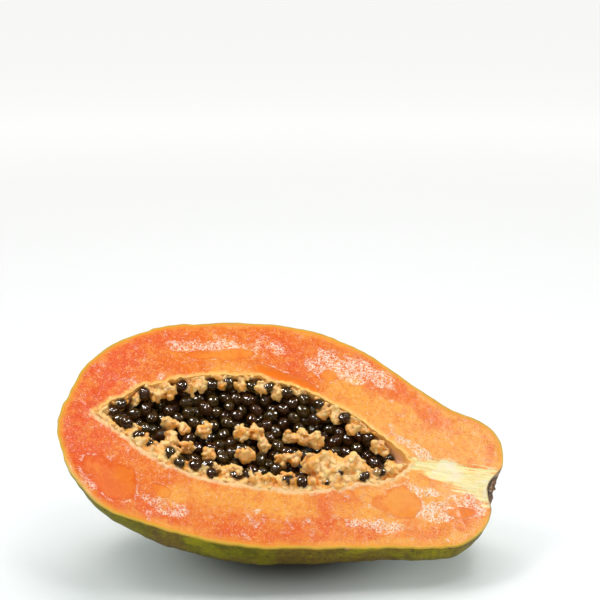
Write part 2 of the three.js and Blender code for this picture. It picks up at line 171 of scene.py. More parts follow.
# Lights: name, place, aim and size in metres, watts, and what they light
LIGHTS = [
    ("top box", (0.05, 0.42, 1.05), (0, 0.02, 0.03), (0.9, 0.7), 8, "no glints"),
    ("left box", (-0.45, -0.12, 0.9), (0, 0, 0.05), (0.24, 0.3), 1.9, "all"),
    ("right box", (0.32, -0.2, 0.95), (0, 0, 0.05), (0.22, 0.26), 1.8, "all"),
    ("left sparkle", (-0.42, -0.2, 0.8), (0, 0, 0.06), (0.42, 0.42), 30, "glints"),
    ("right sparkle", (0.5, 0.0, 0.6), (0, 0, 0.06), (0.24, 0.24), 12, "glints"),
    ("front sparkle", (0.1, -0.6, 0.75), (0, 0, 0.06), (0.2, 0.2), 8, "glints"),
]
FLOOR_REACH, BACKDROP_GLOW = 80.0, 0.95
CAMERA_PLACE, CAMERA_SENSOR, CAMERA_CLIP = (0.007245, -0.63572, 0.28189), 36, (0.02, 200)


def smooth(low, high, x):
    """A smooth step from 0 to 1 as x goes from low to high."""
    t = np.clip((np.asarray(x, float) - low) / (high - low), 0, 1)
    return t * t * (3 - 2 * t)


def draws(seed, count):
    """Repeatable random numbers from 0 to 1, the same ones that the part's source draws."""
    state, out = seed, np.empty(count)
    for i in range(count):
        state = (state * 1664525 + 1013904223) & 0xFFFFFFFF
        out[i] = state / 2**32
    return out


def edge_points(stations, side, s):
    """Points of an outline's raised (side 0) or near (side 2) edge at shares s of its stations."""
    p = np.array([(row[side], row[side + 1]) for row in stations], float)
    p = np.vstack([2 * p[0] - p[1], p, 2 * p[-1] - p[-2]])
    x = np.asarray(s, float) * (len(stations) - 1)
    i = np.minimum(np.floor(x).astype(int), len(stations) - 2)
    t = (x - i)[:, None]
    p0, p1, p2, p3 = p[i], p[i + 1], p[i + 2], p[i + 3]
    d0, d1, d2 = (np.maximum(((b - a) ** 2).sum(-1) ** 0.25, 1e-4)[:, None]
                  for a, b in ((p0, p1), (p1, p2), (p2, p3)))
    start = ((p1 - p0) / d0 - (p2 - p0) / (d0 + d1) + (p2 - p1) / d1) * d1
    end = ((p2 - p1) / d1 - (p3 - p1) / (d1 + d2) + (p3 - p2) / d2) * d1
    return (p1 + start * t + (3 * (p2 - p1) - 2 * start - end) * t**2
            + (2 * (p1 - p2) + start + end) * t**3)


def closed_line(stations, steps):
    """The whole outline: the raised edge from tip to stem, then the near edge back."""
    s = (1 - np.cos(np.pi * np.arange(steps + 1) / steps)) / 2
    return np.vstack([edge_points(stations, 0, s), edge_points(stations, 2, s)[-2:0:-1]])


def inward(line):
    """Unit normals that point into a closed line that runs clockwise."""
    run = np.roll(line, -1, 0) - np.roll(line, 1, 0)
    for _ in range(3):
        run = run + np.roll(run, 1, 0) + np.roll(run, -1, 0)
    run /= np.linalg.norm(run, axis=1)[:, None]
    return np.stack([run[:, 1], -run[:, 0]], 1)


def waves(points, size, seed, count=16):
    """A smooth uneven height, about -1 to 1, over points in mm, with features of that size."""
    rng = np.random.default_rng(seed)
    total = np.zeros(len(points))
    for _ in range(count):
        way = rng.normal(size=points.shape[1])
        way *= np.pi / (size * rng.uniform(0.7, 1.6) * np.linalg.norm(way))
        total += np.cos(points @ way + rng.uniform(0, 2 * np.pi))
    return total / math.sqrt(count)


def relief(points, layers):
    """Waves of several heights and sizes added up, in mm."""
    return sum(height * waves(points, size, seed) for height, size, seed in layers)


def depth_at(u, angle):
    """The fruit's depth below the cut as a share of its half width."""
    deeper = STEM_DEEPER * smooth(*STEM_REACH, u)
    shallower = TIP_SHALLOWER * (1 - smooth(*TIP_REACH, u)) * smooth(*TIP_SIDE, angle)
    return BELLY_DEPTH + deeper - shallower


def lobe_at(angle):
    """The lobed radius factor at an angle from the raised edge, round the underside."""
    fade = smooth(0, LOBE_FADE, angle) * smooth(0, LOBE_FADE, math.pi - angle)
    return 1 + LOBE_HEIGHT * fade * np.cos(LOBES * (angle - LOBE_RIDGE))


def half_rings(far, near, columns, skin):
    """Half-rings under the cut from the raised edge to the near one: rows by columns by 3."""
    far, near = far[:, None, :], near[:, None, :]
    angle = (np.pi * np.arange(columns + 1) / columns)[None, :]
    factor = lobe_at(angle) if skin else np.ones_like(angle)
    depth = depth_at(far[..., 0], angle) if skin else CAVITY_DEPTH
    half = (far - near) / 2 * factor[..., None]
    across = (far + near) / 2 + half * np.cos(angle)[..., None]
    under = np.linalg.norm(half, axis=2) * depth * np.sin(angle)
    return np.concatenate([across, -under[..., None]], 2)


def to_world(points):
    """Points of the cut's frame in mm, as metres in the frame's own axes."""
    u, v, w = np.asarray(points, float).T
    y, z = v * math.cos(TILT) - w * math.sin(TILT), v * math.sin(TILT) + w * math.cos(TILT)
    x, z = u * math.cos(ROLL) + z * math.sin(ROLL), z * math.cos(ROLL) - u * math.sin(ROLL)
    return (np.stack([x, y, z], 1) + PLACE) * MM


class Shape:
    """Points and faces of one piece as they are gathered, in the cut's frame."""

    def __init__(self):
        self.points, self.faces, self.marks, self.count = [], [], [], 0

    def add(self, points):
        """Adds points and says their numbers."""
        points = np.asarray(points, float).reshape(-1, 3)
        self.points.append(points)
        self.count += len(points)
        return np.arange(self.count - len(points), self.count)

    def add_ball(self, points, faces):
        """Adds a closed form whose faces number its own points from 0."""
        start = self.add(points)[0]
        self.faces += (np.array(faces) + start).tolist()
        self.marks += [0] * len(faces)

    def grid(self, rows, flip=False, material=0):
        """Faces between neighbouring rows of point numbers; a repeated number makes a triangle."""
        rows = np.asarray(rows)
        a, b, c, d = rows[:-1, :-1], rows[1:, :-1], rows[1:, 1:], rows[:-1, 1:]
        quads = np.stack([a, d, c, b] if flip else [a, b, c, d], -1).reshape(-1, 4).tolist()
        for quad in quads:
            face = [n for i, n in enumerate(quad) if n != quad[i - 1]]
            if len(face) > 2:
                self.faces.append(face)
                self.marks.append(material)

    def bowl(self, line, columns, loop, skin, flip=False, material=0):
        """Hangs half-rings under the cut from the points of a loop, which are in place already."""
        steps = len(line) // 2
        rings = half_rings(line[: steps + 1], line[-np.arange(steps + 1)], columns, skin)
        rows = np.empty((steps + 1, columns + 1), int)
        rows[:, 0] = loop[: steps + 1]
        rows[:, -1] = loop[-np.arange(steps + 1)]
        rows[1:-1, 1:-1] = self.add(rings[1:-1, 1:-1]).reshape(steps - 1, columns - 1)
        rows[0, 1:-1], rows[-1, 1:-1] = loop[0], loop[steps]
        self.grid(rows, flip, material)
        return rows

    def joined(self):
        """All the points in one array."""
        return np.vstack(self.points)

    def object(self, name, materials, places=None, masks=None):
        """The finished object; masks are per-point numbers that its material reads."""
        mesh = bpy.data.meshes.new(name)
        places = self.joined() if places is None else places
        mesh.from_pydata(to_world(places).tolist(), [], self.faces)
        mesh.polygons.foreach_set("use_smooth", [True] * len(self.faces))
        mesh.polygons.foreach_set("material_index", self.marks)
        for material in materials:
            mesh.materials.append(material)
        for key, values in (masks or {}).items():
            kind = "FLOAT_VECTOR" if np.ndim(values) == 2 else "FLOAT"
            field = "vector" if np.ndim(values) == 2 else "value"
            made = mesh.attributes.new(key, kind, "POINT")
            made.data.foreach_set(field, np.asarray(values, np.float32).ravel())
        mesh.update()
        made = bpy.data.objects.new(name, mesh)
        bpy.context.scene.collection.objects.link(made)
        return made


def search_tree(points):
    """A tree that finds the nearest of many points."""
    tree = KDTree(len(points))
    for number, point in enumerate(points):
        tree.insert(point, number)
    tree.balance()
    return tree


def distance_to(line, points):
    """How far each point lies from a closed line in the cut, in mm."""
    ahead = np.roll(line, -1, 0)
    fine = np.vstack([line + (ahead - line) * k / 6 for k in range(6)])
    tree = search_tree(np.column_stack([fine, np.zeros(len(fine))]))
    return np.array([tree.find((u, v, 0))[2] for u, v in points])


def patch(u, v, spot):
    """1 in an oval spot's middle, 0 at its uneven edge and less than 0 outside."""
    turn = math.radians(spot[4])
    a, b = u - spot[0], v - spot[1]
    along, across = a * math.cos(turn) + b * math.sin(turn), b * math.cos(turn) - a * math.sin(turn)
    bent = relief(np.stack([along, across], 1), PATCH_RELIEF)
    return 1 + bent - (along / spot[2]) ** 2 - (across / spot[3]) ** 2


def core_share(u, v):
    """1 in the middle of the pale core strip, 0 at its sides and start, less than 0 outside."""
    line = np.array(CORE_LINE)
    middle = np.interp(u, line[:, 0], line[:, 1])
    width = np.interp(u, line[:, 0], line[:, 2])
    return np.clip(1 - np.abs(v - middle) / width - 2 * smooth(60, 54, u), -1, 1)


def rosy_share(u, v, edge):
    """Where the flesh is redder: towards the blossom end and in a band under the rind."""
    under_rind = smooth(2, 6, edge) * smooth(20, 8, edge)
    ends = 0.45 * smooth(-35, -95, u) - 0.42 * smooth(10, 70, u) + 0.15 * smooth(20, 60, v)
    groove = np.clip(patch(u, v, GROOVE), 0, 1)
    uneven = 0.17 * waves(np.stack([u, v], 1), 26, 81)
    return 0.08 + ends + 0.35 * under_rind + uneven - 0.6 * groove


def raised_side(u, v):
    """1 on the cavity's raised side and 0 on its near side."""
    s = np.linspace(0, 1, 60)
    middle = (edge_points(CAVITY_RIM, 0, s) + edge_points(CAVITY_RIM, 2, s)) / 2
    return smooth(-2, 2, v - np.interp(u, middle[:, 0], middle[:, 1]))


# Shaders

def colour(code):
    """A colour written as six hex digits, as the linear values that sockets take."""
    parts = [int(code[i:i + 2], 16) / 255 for i in (0, 2, 4)]
    return [p / 12.92 if p <= 0.04045 else ((p + 0.055) / 1.055) ** 2.4 for p in parts] + [1.0]


class Nodes:
    """A shader tree, with short ways to add nodes and to link them."""

    def __init__(self, tree, place=None):
        self.tree, self.place = tree, place

    def feed(self, socket, value):
        """Links a value that is another node's output, and sets any other value."""
        if isinstance(value, bpy.types.NodeSocket):
            self.tree.links.new(value, socket)
        else:
            socket.default_value = value

    def put(self, kind, values=None, **settings):
        """A new node with its settings made, and its inputs set or linked."""
        made = self.tree.nodes.new(kind)
        for key, value in settings.items():
            setattr(made, key, value)
        for key, value in (values or {}).items():
            self.feed(made.inputs[key], value)
        return made

    def maths(self, operation, first, second=0.0, clamp=False):
        """One sum of two values; clamp keeps what comes out between 0 and 1."""
        made = self.put("ShaderNodeMath", {0: first, 1: second}, operation=operation,
                        use_clamp=clamp)
        return made.outputs[0]

    def times(self, first, *more):
        """Values multiplied, from the first to the last."""
        for value in more:
            first = self.maths("MULTIPLY", first, value)
        return first

    def plus(self, first, *more):
        """Values added, from the first to the last."""
        for value in more:
            first = self.maths("ADD", first, value)
        return first

    def frayed(self, level, uneven, amount):
        """A level moved up and down by something uneven that goes from 0 to 1."""
        return self.plus(level, self.times(self.maths("SUBTRACT", uneven, 0.5), amount))

    def band(self, value, low, high, start=0.0, end=1.0):
        """A smooth step from start to end as value goes from low to high."""
        made = self.put("ShaderNodeMapRange", {0: value, 1: low, 2: high, 3: start, 4: end},
                        interpolation_type="SMOOTHSTEP")
        return made.outputs[0]

    def mix(self, share, first, second):
        """The first colour at a share of 0 and the second at 1."""
        made = self.put("ShaderNodeMix", {0: share, 6: first, 7: second}, data_type="RGBA")
        return made.outputs[2]

    def cloud(self, scale, detail=2.0, rough=0.5, warp=0.0, place=None):
        """Soft cloudy noise from 0 to 1, at the tree's own places or at others."""
        made = self.put("ShaderNodeTexNoise", {
            "Vector": self.place if place is None else place, "Scale": scale, "Detail": detail,
            "Roughness": rough, "Distortion": warp,
        })
        return made.outputs["Fac"]


def new_group(name, values, result):
    """An empty shader group that takes places and some values and gives one value."""
    tree = bpy.data.node_groups.new(name, "ShaderNodeTree")
    real = "NodeSocketFloat"
    tree.interface.new_socket(name="Vector", in_out="INPUT", socket_type="NodeSocketVector")
    for title, value in values.items():
        made = tree.interface.new_socket(name=title, in_out="INPUT", socket_type=real)
        made.default_value = value
    tree.interface.new_socket(name=result, in_out="OUTPUT", socket_type=real)
    given = tree.nodes.new("NodeGroupInput").outputs
    out = tree.nodes.new("NodeGroupOutput").inputs
    return Nodes(tree, given["Vector"]), given, out[result]


def dots_group():
    """Round dots of uneven size strewn over a surface: 1 inside a dot, 0 outside."""
    nodes, given, out = new_group(
        "Dots", {"Scale": 500.0, "Size": 0.2, "Share": 0.3, "Softness": 0.08}, "Mask")
    bent = nodes.put("ShaderNodeTexNoise", {"Vector": nodes.place, "Scale": 900.0})
    shift = nodes.put("ShaderNodeVectorMath", {0: bent.outputs["Color"], 3: 0.0006},
                      operation="SCALE")
    moved = nodes.put("ShaderNodeVectorMath", {0: nodes.place, 1: shift.outputs[0]},
                      operation="ADD")
    cells = nodes.put("ShaderNodeTexVoronoi",
                      {"Vector": moved.outputs[0], "Scale": given["Scale"]}).outputs
    draw = nodes.put("ShaderNodeSeparateColor", {0: cells["Color"]}).outputs
    reach = nodes.times(given["Size"], nodes.plus(draw[0], 0.4))
    inside = nodes.maths("SUBTRACT", reach, cells["Distance"])
    inside = nodes.maths("DIVIDE", inside, given["Softness"], clamp=True)
    chosen = nodes.maths("LESS_THAN", draw[1], given["Share"])
    nodes.feed(out, nodes.times(inside, chosen))
    return nodes.tree


def grain_group():
    """Fine unevenness of a grown surface, from two sizes of cloud: 0 to 1."""
    nodes, given, out = new_group("Grain", {"Scale": 600.0, "Finer": 3.0, "Share": 0.4}, "Height")
    broad = nodes.cloud(given["Scale"])
    fine = nodes.cloud(nodes.times(given["Scale"], given["Finer"]))
    rest = nodes.maths("SUBTRACT", 1.0, given["Share"])
    nodes.feed(out, nodes.plus(nodes.times(broad, rest), nodes.times(fine, given["Share"])))
    return nodes.tree


def threads_group():
    """Thin wandering threads along a cloud's middle level: 1 on a thread, 0 beside it."""
    nodes, given, out = new_group("Threads", {"Scale": 700.0, "Width": 0.03}, "Mask")
    level = nodes.cloud(given["Scale"], 1.5, 0.55, 0.6)
    off = nodes.maths("ABSOLUTE", nodes.maths("SUBTRACT", level, 0.5))
    off = nodes.maths("DIVIDE", off, given["Width"])
    nodes.feed(out, nodes.maths("SUBTRACT", 1.0, off, clamp=True))
    return nodes.tree


EFFECTS = {"Dots": dots_group, "Grain": grain_group, "Threads": threads_group}


class Paint(Nodes):
    """A material while it is painted: one Principled shader and the colour so far."""

    def __init__(self, name, tone, settings):
        self.material = bpy.data.materials.new(name)
        self.material.use_nodes = True
        super().__init__(self.material.node_tree)
        self.tree.nodes.clear()
        shader = self.put("ShaderNodeBsdfPrincipled", settings)
        self.put("ShaderNodeOutputMaterial", {0: shader.outputs[0]})
        self.shader, self.tone = shader.inputs, tone
        self.place = self.put("ShaderNodeTexCoord").outputs["Object"]

    def mask(self, name, output="Fac"):
        """The per-point values of that name on the piece."""
        return self.put("ShaderNodeAttribute", attribute_name=name).outputs[output]

    def effect(self, name, **values):
        """A shared group with this material's own values, built when it is first used."""
        group = bpy.data.node_groups.get(name) or EFFECTS[name]()
        return self.put("ShaderNodeGroup", {"Vector": self.place, **values},
                        node_tree=group).outputs[0]

    def over(self, share, tone):
        """Lays a colour over what is there, by a share from 0 to 1."""
        self.tone = self.mix(share, self.tone, tone)

    def lay(self, tone, value, low, high, most=1.0, where=None):
        """Lays a colour on as value goes from low to high, no stronger than most."""
        share = self.band(value, low, high, 0, most)
        self.over(share if where is None else self.times(share, where), tone)

    def finished(self, height, strength, distance, rough=None):
        """The material with its colour, bumps and roughness linked to the shader."""
        self.feed(self.shader["Base Color"], self.tone)
        if rough is not None:
            self.feed(self.shader["Roughness"], rough)
        raised = self.put("ShaderNodeBump", {"Strength": strength, "Distance": distance,
                                             "Height": height})
        self.feed(self.shader["Normal"], raised.outputs[0])
        return self.material


def flesh_material(look):
    """Wet orange flesh: clouds, fine cells, smooth spots, glints, core, rind and lining."""
    paint = Paint("papaya flesh", look.flesh, {
        "Subsurface Weight": 0.18, "Subsurface Radius": (1.0, 0.35, 0.12),
        "Subsurface Scale": 0.003, "IOR": 1.35, "Specular IOR Level": 0.15,
    })
    edge, rim, rosy = paint.mask("edge"), paint.mask("rim"), paint.mask("rosy")
    wet, glint, core = paint.mask("wet"), paint.mask("glint"), paint.mask("core")
    lighter = paint.maths("SUBTRACT", paint.cloud(38, 3, 0.55), paint.times(rosy, 0.6))
    paint.lay(look.flesh_light, lighter, 0.4, 0.62)
    redder = paint.band(paint.frayed(rosy, paint.cloud(55, 3, 0.6), 0.9), 0.2, 0.85)
    paint.over(redder, look.flesh_pink)
    blots = paint.cloud(130, 3, 0.6, 0.4)
    paint.lay(look.flesh_light, blots, 0.5, 0.66, 0.35)
    paint.lay(look.flesh_deep, blots, 0.48, 0.34, 0.35)
    # Fine cells, veins and grains of painted glints, fainter where the cut is smooth and wet
    cells = paint.effect("Grain", Scale=480.0, Share=0.5)
    grains = paint.effect("Grain", Scale=1150.0, Share=0.4)
    dry = paint.band(wet, -0.25, 0.4, 1, 0)
    soft = paint.plus(paint.times(dry, 0.62), 0.38)
    paint.lay(look.flesh_pale, cells, 0.51, 0.66, 0.45, soft)
    paint.lay(look.flesh_deep, cells, 0.5, 0.38, 0.45, soft)
    veins = paint.effect("Threads", Scale=300.0, Width=0.05)
    veiny = paint.band(paint.cloud(90, 2, 0.5), 0.42, 0.62, 0, 0.6)
    paint.over(paint.times(veins, veiny, soft), look.flesh_pale)
    # Painted highlights: grains in the glint colour
    paint.lay(look.glint, grains, 0.57, 0.64, 0.4, soft)
    # Smooth wet spots, redder in the red parts, with a thin darker outline
    smooth_tone = paint.mix(redder, look.flesh_wet, look.flesh_red)
    fading = paint.frayed(wet, cells, 0.7)
    paint.lay(smooth_tone, fading, -0.25, 0.6, 0.38)
    paint.lay(look.groove, paint.mask("groove"), 0.05, 0.6, 0.85)
    line = paint.times(paint.band(fading, -0.1, 0.08), paint.band(fading, 0.35, 0.12), 0.4)
    paint.over(line, look.flesh_deep)
    # Glints: fine bright threads and grains, thickest in their patches and round wet spots
    ring = paint.times(paint.band(wet, -0.4, -0.08), paint.band(wet, 0.12, 0.0), 0.4)
    level = paint.plus(paint.frayed(glint, paint.cloud(210, 2, 0.55), 2.2), ring)
    threads = paint.effect("Threads", Scale=430.0, Width=0.055)
    clusters = paint.maths("MAXIMUM", threads, paint.band(grains, 0.5, 0.6))
    glints = paint.times(clusters, paint.band(level, 0.2, 0.7), dry)
    paint.over(paint.times(glints, 0.95), look.glint)
    # Core strip: pale streaks along the fruit, mottled with painted glints
    drawn = paint.put("ShaderNodeMapping", {"Vector": paint.mask("cut", "Vector"),
                                            "Scale": (0.07, 0.6, 0.6)})
    streak = paint.cloud(1.0, 4, 0.6, 0.5, drawn.outputs[0])
    patchy = paint.cloud(110, 3, 0.6, 0.5)
    pale = paint.mix(paint.band(streak, 0.36, 0.56), look.core, look.core_light)
    pale = paint.mix(paint.band(patchy, 0.52, 0.68, 0, 0.6), pale, look.glint)
    pale = paint.mix(paint.band(cells, 0.52, 0.64, 0, 0.55), pale, look.glint)
    paint.lay(pale, paint.frayed(paint.frayed(core, streak, 1.8), patchy, 1.2), 0.0, 0.35)
    # Rind: yellow-orange towards the skin, but not over the core
    away = paint.band(core, -0.1, -0.7)
    ragged = paint.frayed(edge, paint.cloud(60, 2, 0.5), 3.0)
    paint.lay(look.rind_inner, ragged, 3.4, 1.0, 0.85, away)
    paint.lay(look.rind_outer, edge, 1.6, 0.5, 0.9, away)
    # Pale lining where the cut meets the cavity
    lined = paint.mix(paint.band(paint.mask("far"), 0.3, 0.7), look.lining, look.lining_far)
    paint.lay(lined, paint.frayed(rim, cells, 6), 2.6, 0.8, 0.9)
    rough = paint.plus(paint.band(wet, 0, 0.3, 0.24, 0.14), paint.band(core, 0, 0.5, 0, 0.1))
    height = paint.plus(paint.times(cells, paint.times(soft, 1.3)),
                        paint.times(streak, paint.band(core, 0, 0.3)),
                        paint.times(glints, 0.15))
    return paint.finished(height, 0.55, 0.0006, rough)


def wall_material(look):
    """The cavity's wall: pale at its edge, bare at the stem end, with painted shade under the seeds.
    """
    paint = Paint("cavity wall", look.wall, {"Specular IOR Level": 0.2})
    depth, bare = paint.mask("depth"), paint.mask("bare")
    fold = paint.effect("Grain", Scale=260.0, Share=0.4)
    paint.lay(look.wall_light, fold, 0.4, 0.62)
    paint.over(paint.times(bare, 0.8), look.wall_bare)
    # Painted shade: the wall goes nearly black with depth, where the seeds shade it
    paint.lay(look.wall_painted_shade, depth, 2.5, 9, 0.97, paint.maths("SUBTRACT", 1.0, bare))
    lined = paint.mix(paint.mask("far"), look.lining, look.lining_far)
    paint.lay(lined, paint.plus(depth, fold), 4.2, 2.2, 0.9)
    return paint.finished(fold, 0.6, 0.0012, paint.band(fold, 0.3, 0.7, 0.35, 0.55))


def skin_material(look):
    """Green skin with yellow, dark and russet clouds, specks and corky pores."""
    paint = Paint("papaya skin", look.skin, {"IOR": 1.36, "Specular IOR Level": 0.15})
    paint.lay(look.skin_yellow, paint.cloud(16, 3, 0.5), 0.42, 0.66, 0.8)
    shade = paint.cloud(75, 4, 0.6, 0.3)
    paint.lay(look.skin_dark, shade, 0.46, 0.6, 0.6)
    along = paint.put("ShaderNodeSeparateXYZ", {0: paint.place}).outputs[0]
    belly = paint.times(paint.band(along, -0.1, 0.0), paint.band(along, 0.1, 0.01), 0.15)
    paint.lay(look.skin_russet, paint.plus(paint.cloud(31, 5, 0.7, 0.7), belly), 0.5, 0.7, 0.75)
    fine = paint.effect("Grain", Scale=420.0, Share=0.5)
    paint.lay(look.skin_yellow, fine, 0.5, 0.64, 0.4)
    paint.lay(look.skin_dark, fine, 0.5, 0.36, 0.45)
    freckles = paint.effect("Dots", Scale=420.0, Size=0.24, Share=0.35, Softness=0.1)
    paint.over(paint.times(freckles, 0.8), look.skin_speck)
    # Each pore is a pale dot inside a wider dark one
    rings, pores = (paint.effect("Dots", Scale=170.0, Size=size, Share=0.3, Softness=0.05)
                    for size in (0.29, 0.2))
    paint.over(paint.times(rings, 0.7), look.skin_speck)
    paint.over(paint.times(pores, 0.8), look.skin_pore)
    # The cut edge of the rind, and the dry crust round the stalk
    paint.over(paint.mask("lip"), look.rind_outer)
    crust = paint.mix(paint.band(shade, 0.4, 0.6), look.scar_pale, look.scar)
    paint.over(paint.mask("stalk"), crust)
    raised = paint.plus(paint.times(fine, 0.35), pores)
    return paint.finished(raised, 0.45, 0.0004, paint.band(fine, 0.3, 0.7, 0.42, 0.6))


def pulp_material(look):
    """Moist golden pulp, with painted shade in its creases."""
    paint = Paint("seed pulp", look.pulp, {
        "Subsurface Weight": 0.22, "Subsurface Radius": (1.0, 0.5, 0.2),
        "Subsurface Scale": 0.0016, "Specular IOR Level": 0.15,
    })
    crumb = paint.mask("crumb")
    mixed = paint.plus(paint.times(crumb, 0.4), paint.times(paint.cloud(240, 3, 0.6), 0.7))
    paint.lay(look.pulp_light, mixed, 0.38, 0.6)
    amber = paint.maths("MAXIMUM", paint.band(crumb, 0.75, 0.95, 0, 0.6), paint.mask("far_edge"))
    paint.over(amber, look.pulp_amber)
    # Painted shade: orange-brown in the creases between the pulp's cells
    paint.lay(look.pulp_crease_shade, paint.mask("crease"), 0.4, 1.0, 0.5)
    fine = paint.effect("Grain", Scale=900.0, Share=0.4)
    return paint.finished(fine, 0.22, 0.0006, paint.band(fine, 0.3, 0.7, 0.3, 0.42))


def seed_material(look):
    """The dark wrinkled core of a seed."""
    paint = Paint("seed", look.seed, {"IOR": 1.4, "Specular IOR Level": 0.2})
    paint.lay(look.seed_olive, paint.mask("tint"), 0.35, 0.9)
    wrinkle = paint.cloud(520, 3, 0.6, 0.6)
    paint.lay(look.seed_light, wrinkle, 0.5, 0.66, 0.8)
    return paint.finished(wrinkle, 0.5, 0.0005, paint.band(wrinkle, 0.35, 0.65, 0.25, 0.5))


def gel_material(look):
    """The glossy see-through coat of a seed."""
    paint = Paint("seed gel", look.gel, {
        "IOR": 1.38, "Roughness": 0.06, "Alpha": 0.38, "Specular IOR Level": 0.75,
    })
    paint.lay(look.gel_olive, paint.mask("tint"), 0.2, 0.9)
    cloudy = paint.cloud(380, 2, 0.5)
    paint.lay(look.gel_light, cloudy, 0.5, 0.7, 0.5)
    return paint.finished(cloudy, 0.35, 0.0008)


def scar_material(look):
    """Dry brown crust with dark pits and pale bits."""
    paint = Paint("stalk scar", look.scar_dark, {"Specular IOR Level": 0.2})
    crust = paint.cloud(520, 4, 0.65, 0.5)
    paint.lay(look.scar, crust, 0.4, 0.58)
    paint.lay(look.scar_pale, paint.cloud(600, 3, 0.6), 0.58, 0.66, 0.8)
    return paint.finished(crust, 0.9, 0.001, paint.band(crust, 0.3, 0.7, 0.65, 0.9))


# Pieces

def rim_lines():
    """The cut's outline and the cavity's as uneven closed lines, in mm."""
    outer = closed_line(RIM, LINE_STEPS)
    u, v = outer.T
    step = smooth(-72, -69, u) * smooth(-50, -58, u) * (v > 0)
    nub = smooth(-98, -102, u) * smooth(6, 0, v) * smooth(-26, -8, v)
    inset = RIM_INSET + relief(outer, RIM_RELIEF) - STEP_OUT * step - NUB_OUT * nub
    outer = outer + inward(outer) * inset[:, None]
    cavity = closed_line(CAVITY_RIM, LINE_STEPS)
    cavity = cavity + inward(cavity) * relief(cavity, MOUTH_RELIEF)[:, None]
    return outer, cavity


def lift_off_table(points, least):
    """Keeps points in the cut's frame at least so many mm over the table's top."""
    world = to_world(points) / MM
    low = np.maximum(least - world[:, 2], 0)
    up = np.array([-math.sin(ROLL), math.cos(ROLL) * math.sin(TILT),
                   math.cos(ROLL) * math.cos(TILT)])
    return points + low[:, None] * up


def face_height(u, v, edge, rim):
    """How far the cut stands out of its plane, in mm."""
    flat = np.stack([u, v], 1)
    height = relief(flat, FACE_RELIEF)
    for spot in WET_SPOTS:
        bowl = np.clip(patch(u, v, spot), 0, 1)
        height -= spot[5] * smooth(0, 0.9, bowl)
    fibres = relief(np.stack([u * FIBRE_DRAWN, v], 1), FIBRE_RELIEF) - FIBRE_SUNK
    height += smooth(0, 0.4, core_share(u, v)) * fibres
    height += smooth(*TORN_BAND, rim) * (relief(flat, TORN_RELIEF) + TORN_RISE)
    ripples = relief(np.stack([u * CHATTER_DRAWN, v], 1), CHATTER_RELIEF)
    height += smooth(0, 0.5, np.clip(patch(u, v, CHATTER), 0, 1)) * ripples
    return (height - 0.15) * smooth(0, 2.2, edge)


class PAPAYA_OT_flesh(bpy.types.Operator):
    """Makes the orange flesh with its wet cut face and the hollow that held the seeds"""
    bl_idname = "papaya.flesh"
    bl_label = "Cut flesh"

    def execute(self, context):
        sizes, look = context.scene.papaya_sizes, context.scene.papaya_colours
        outer, cavity = rim_lines()
        under = sizes.skin_thickness / MM + SKIN_GAP
        edge_line = outer + inward(outer) * under
        shape = Shape()
        # Rows of the face lie closer together at its two edges
        t = np.linspace(0, 1, FACE_ROWS + 1)
        t = 0.55 * t + 0.45 * (1 - np.cos(np.pi * t)) / 2
        flat = edge_line[None] * (1 - t)[:, None, None] + cavity[None] * t[:, None, None]
        flat = flat.reshape(-1, 2)
        numbers = shape.add(np.column_stack([flat, np.zeros(len(flat))]))
        rows = numbers.reshape(FACE_ROWS + 1, -1)
        shape.grid(np.column_stack([rows, rows[:, 0]]).T)
        shape.bowl(edge_line, FLESH_COLUMNS, rows[0], skin=True)
        wall = shape.bowl(cavity, WALL_COLUMNS, rows[-1], skin=False, flip=True, material=1)
        points = shape.joined()
        edge = distance_to(outer, points[:, :2])
        rim = distance_to(cavity, points[:, :2])
        on_face = np.zeros(len(points), bool)
        on_face[numbers] = True
        u, v = points[:, 0], points[:, 1]
        places = points.copy()
        places[on_face, 2] += face_height(u[on_face], v[on_face], edge[on_face], rim[on_face])
        inner = wall[1:-1, 1:-1].ravel()
        places[inner, 2] += 0.5 * waves(points[inner], 5, 31) * smooth(0, 3, -points[inner, 2])
        places = lift_off_table(places, under)
        wet, glint = np.full(len(points), -1.0), np.zeros(len(points))
        for spot in WET_SPOTS:
            wet = np.maximum(wet, np.clip(patch(u, v, spot), -1, 1))
        for spot in GLINT_PATCHES:
            glint = np.maximum(glint, spot[5] * smooth(0, 0.8, patch(u, v, spot)))
        piece = shape.object("flesh", [flesh_material(look), wall_material(look)], places, {
            "edge": np.where(on_face, edge, 0), "rim": np.where(on_face, rim, 0),
            "wet": wet, "glint": glint, "core": core_share(u, v), "rosy": rosy_share(u, v, edge),
            "groove": np.clip(patch(u, v, GROOVE), 0, 1),
            "depth": -points[:, 2], "far": raised_side(u, v),
            "bare": smooth(*BARE_WALL, u) * smooth(-24, -14, points[:, 2]),
            "cut": points,
        })
        piece.data.set_sharp_from_angle(angle=math.radians(55))
        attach(piece, "root")
        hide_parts("flesh_and_skin")
        return {"FINISHED"}


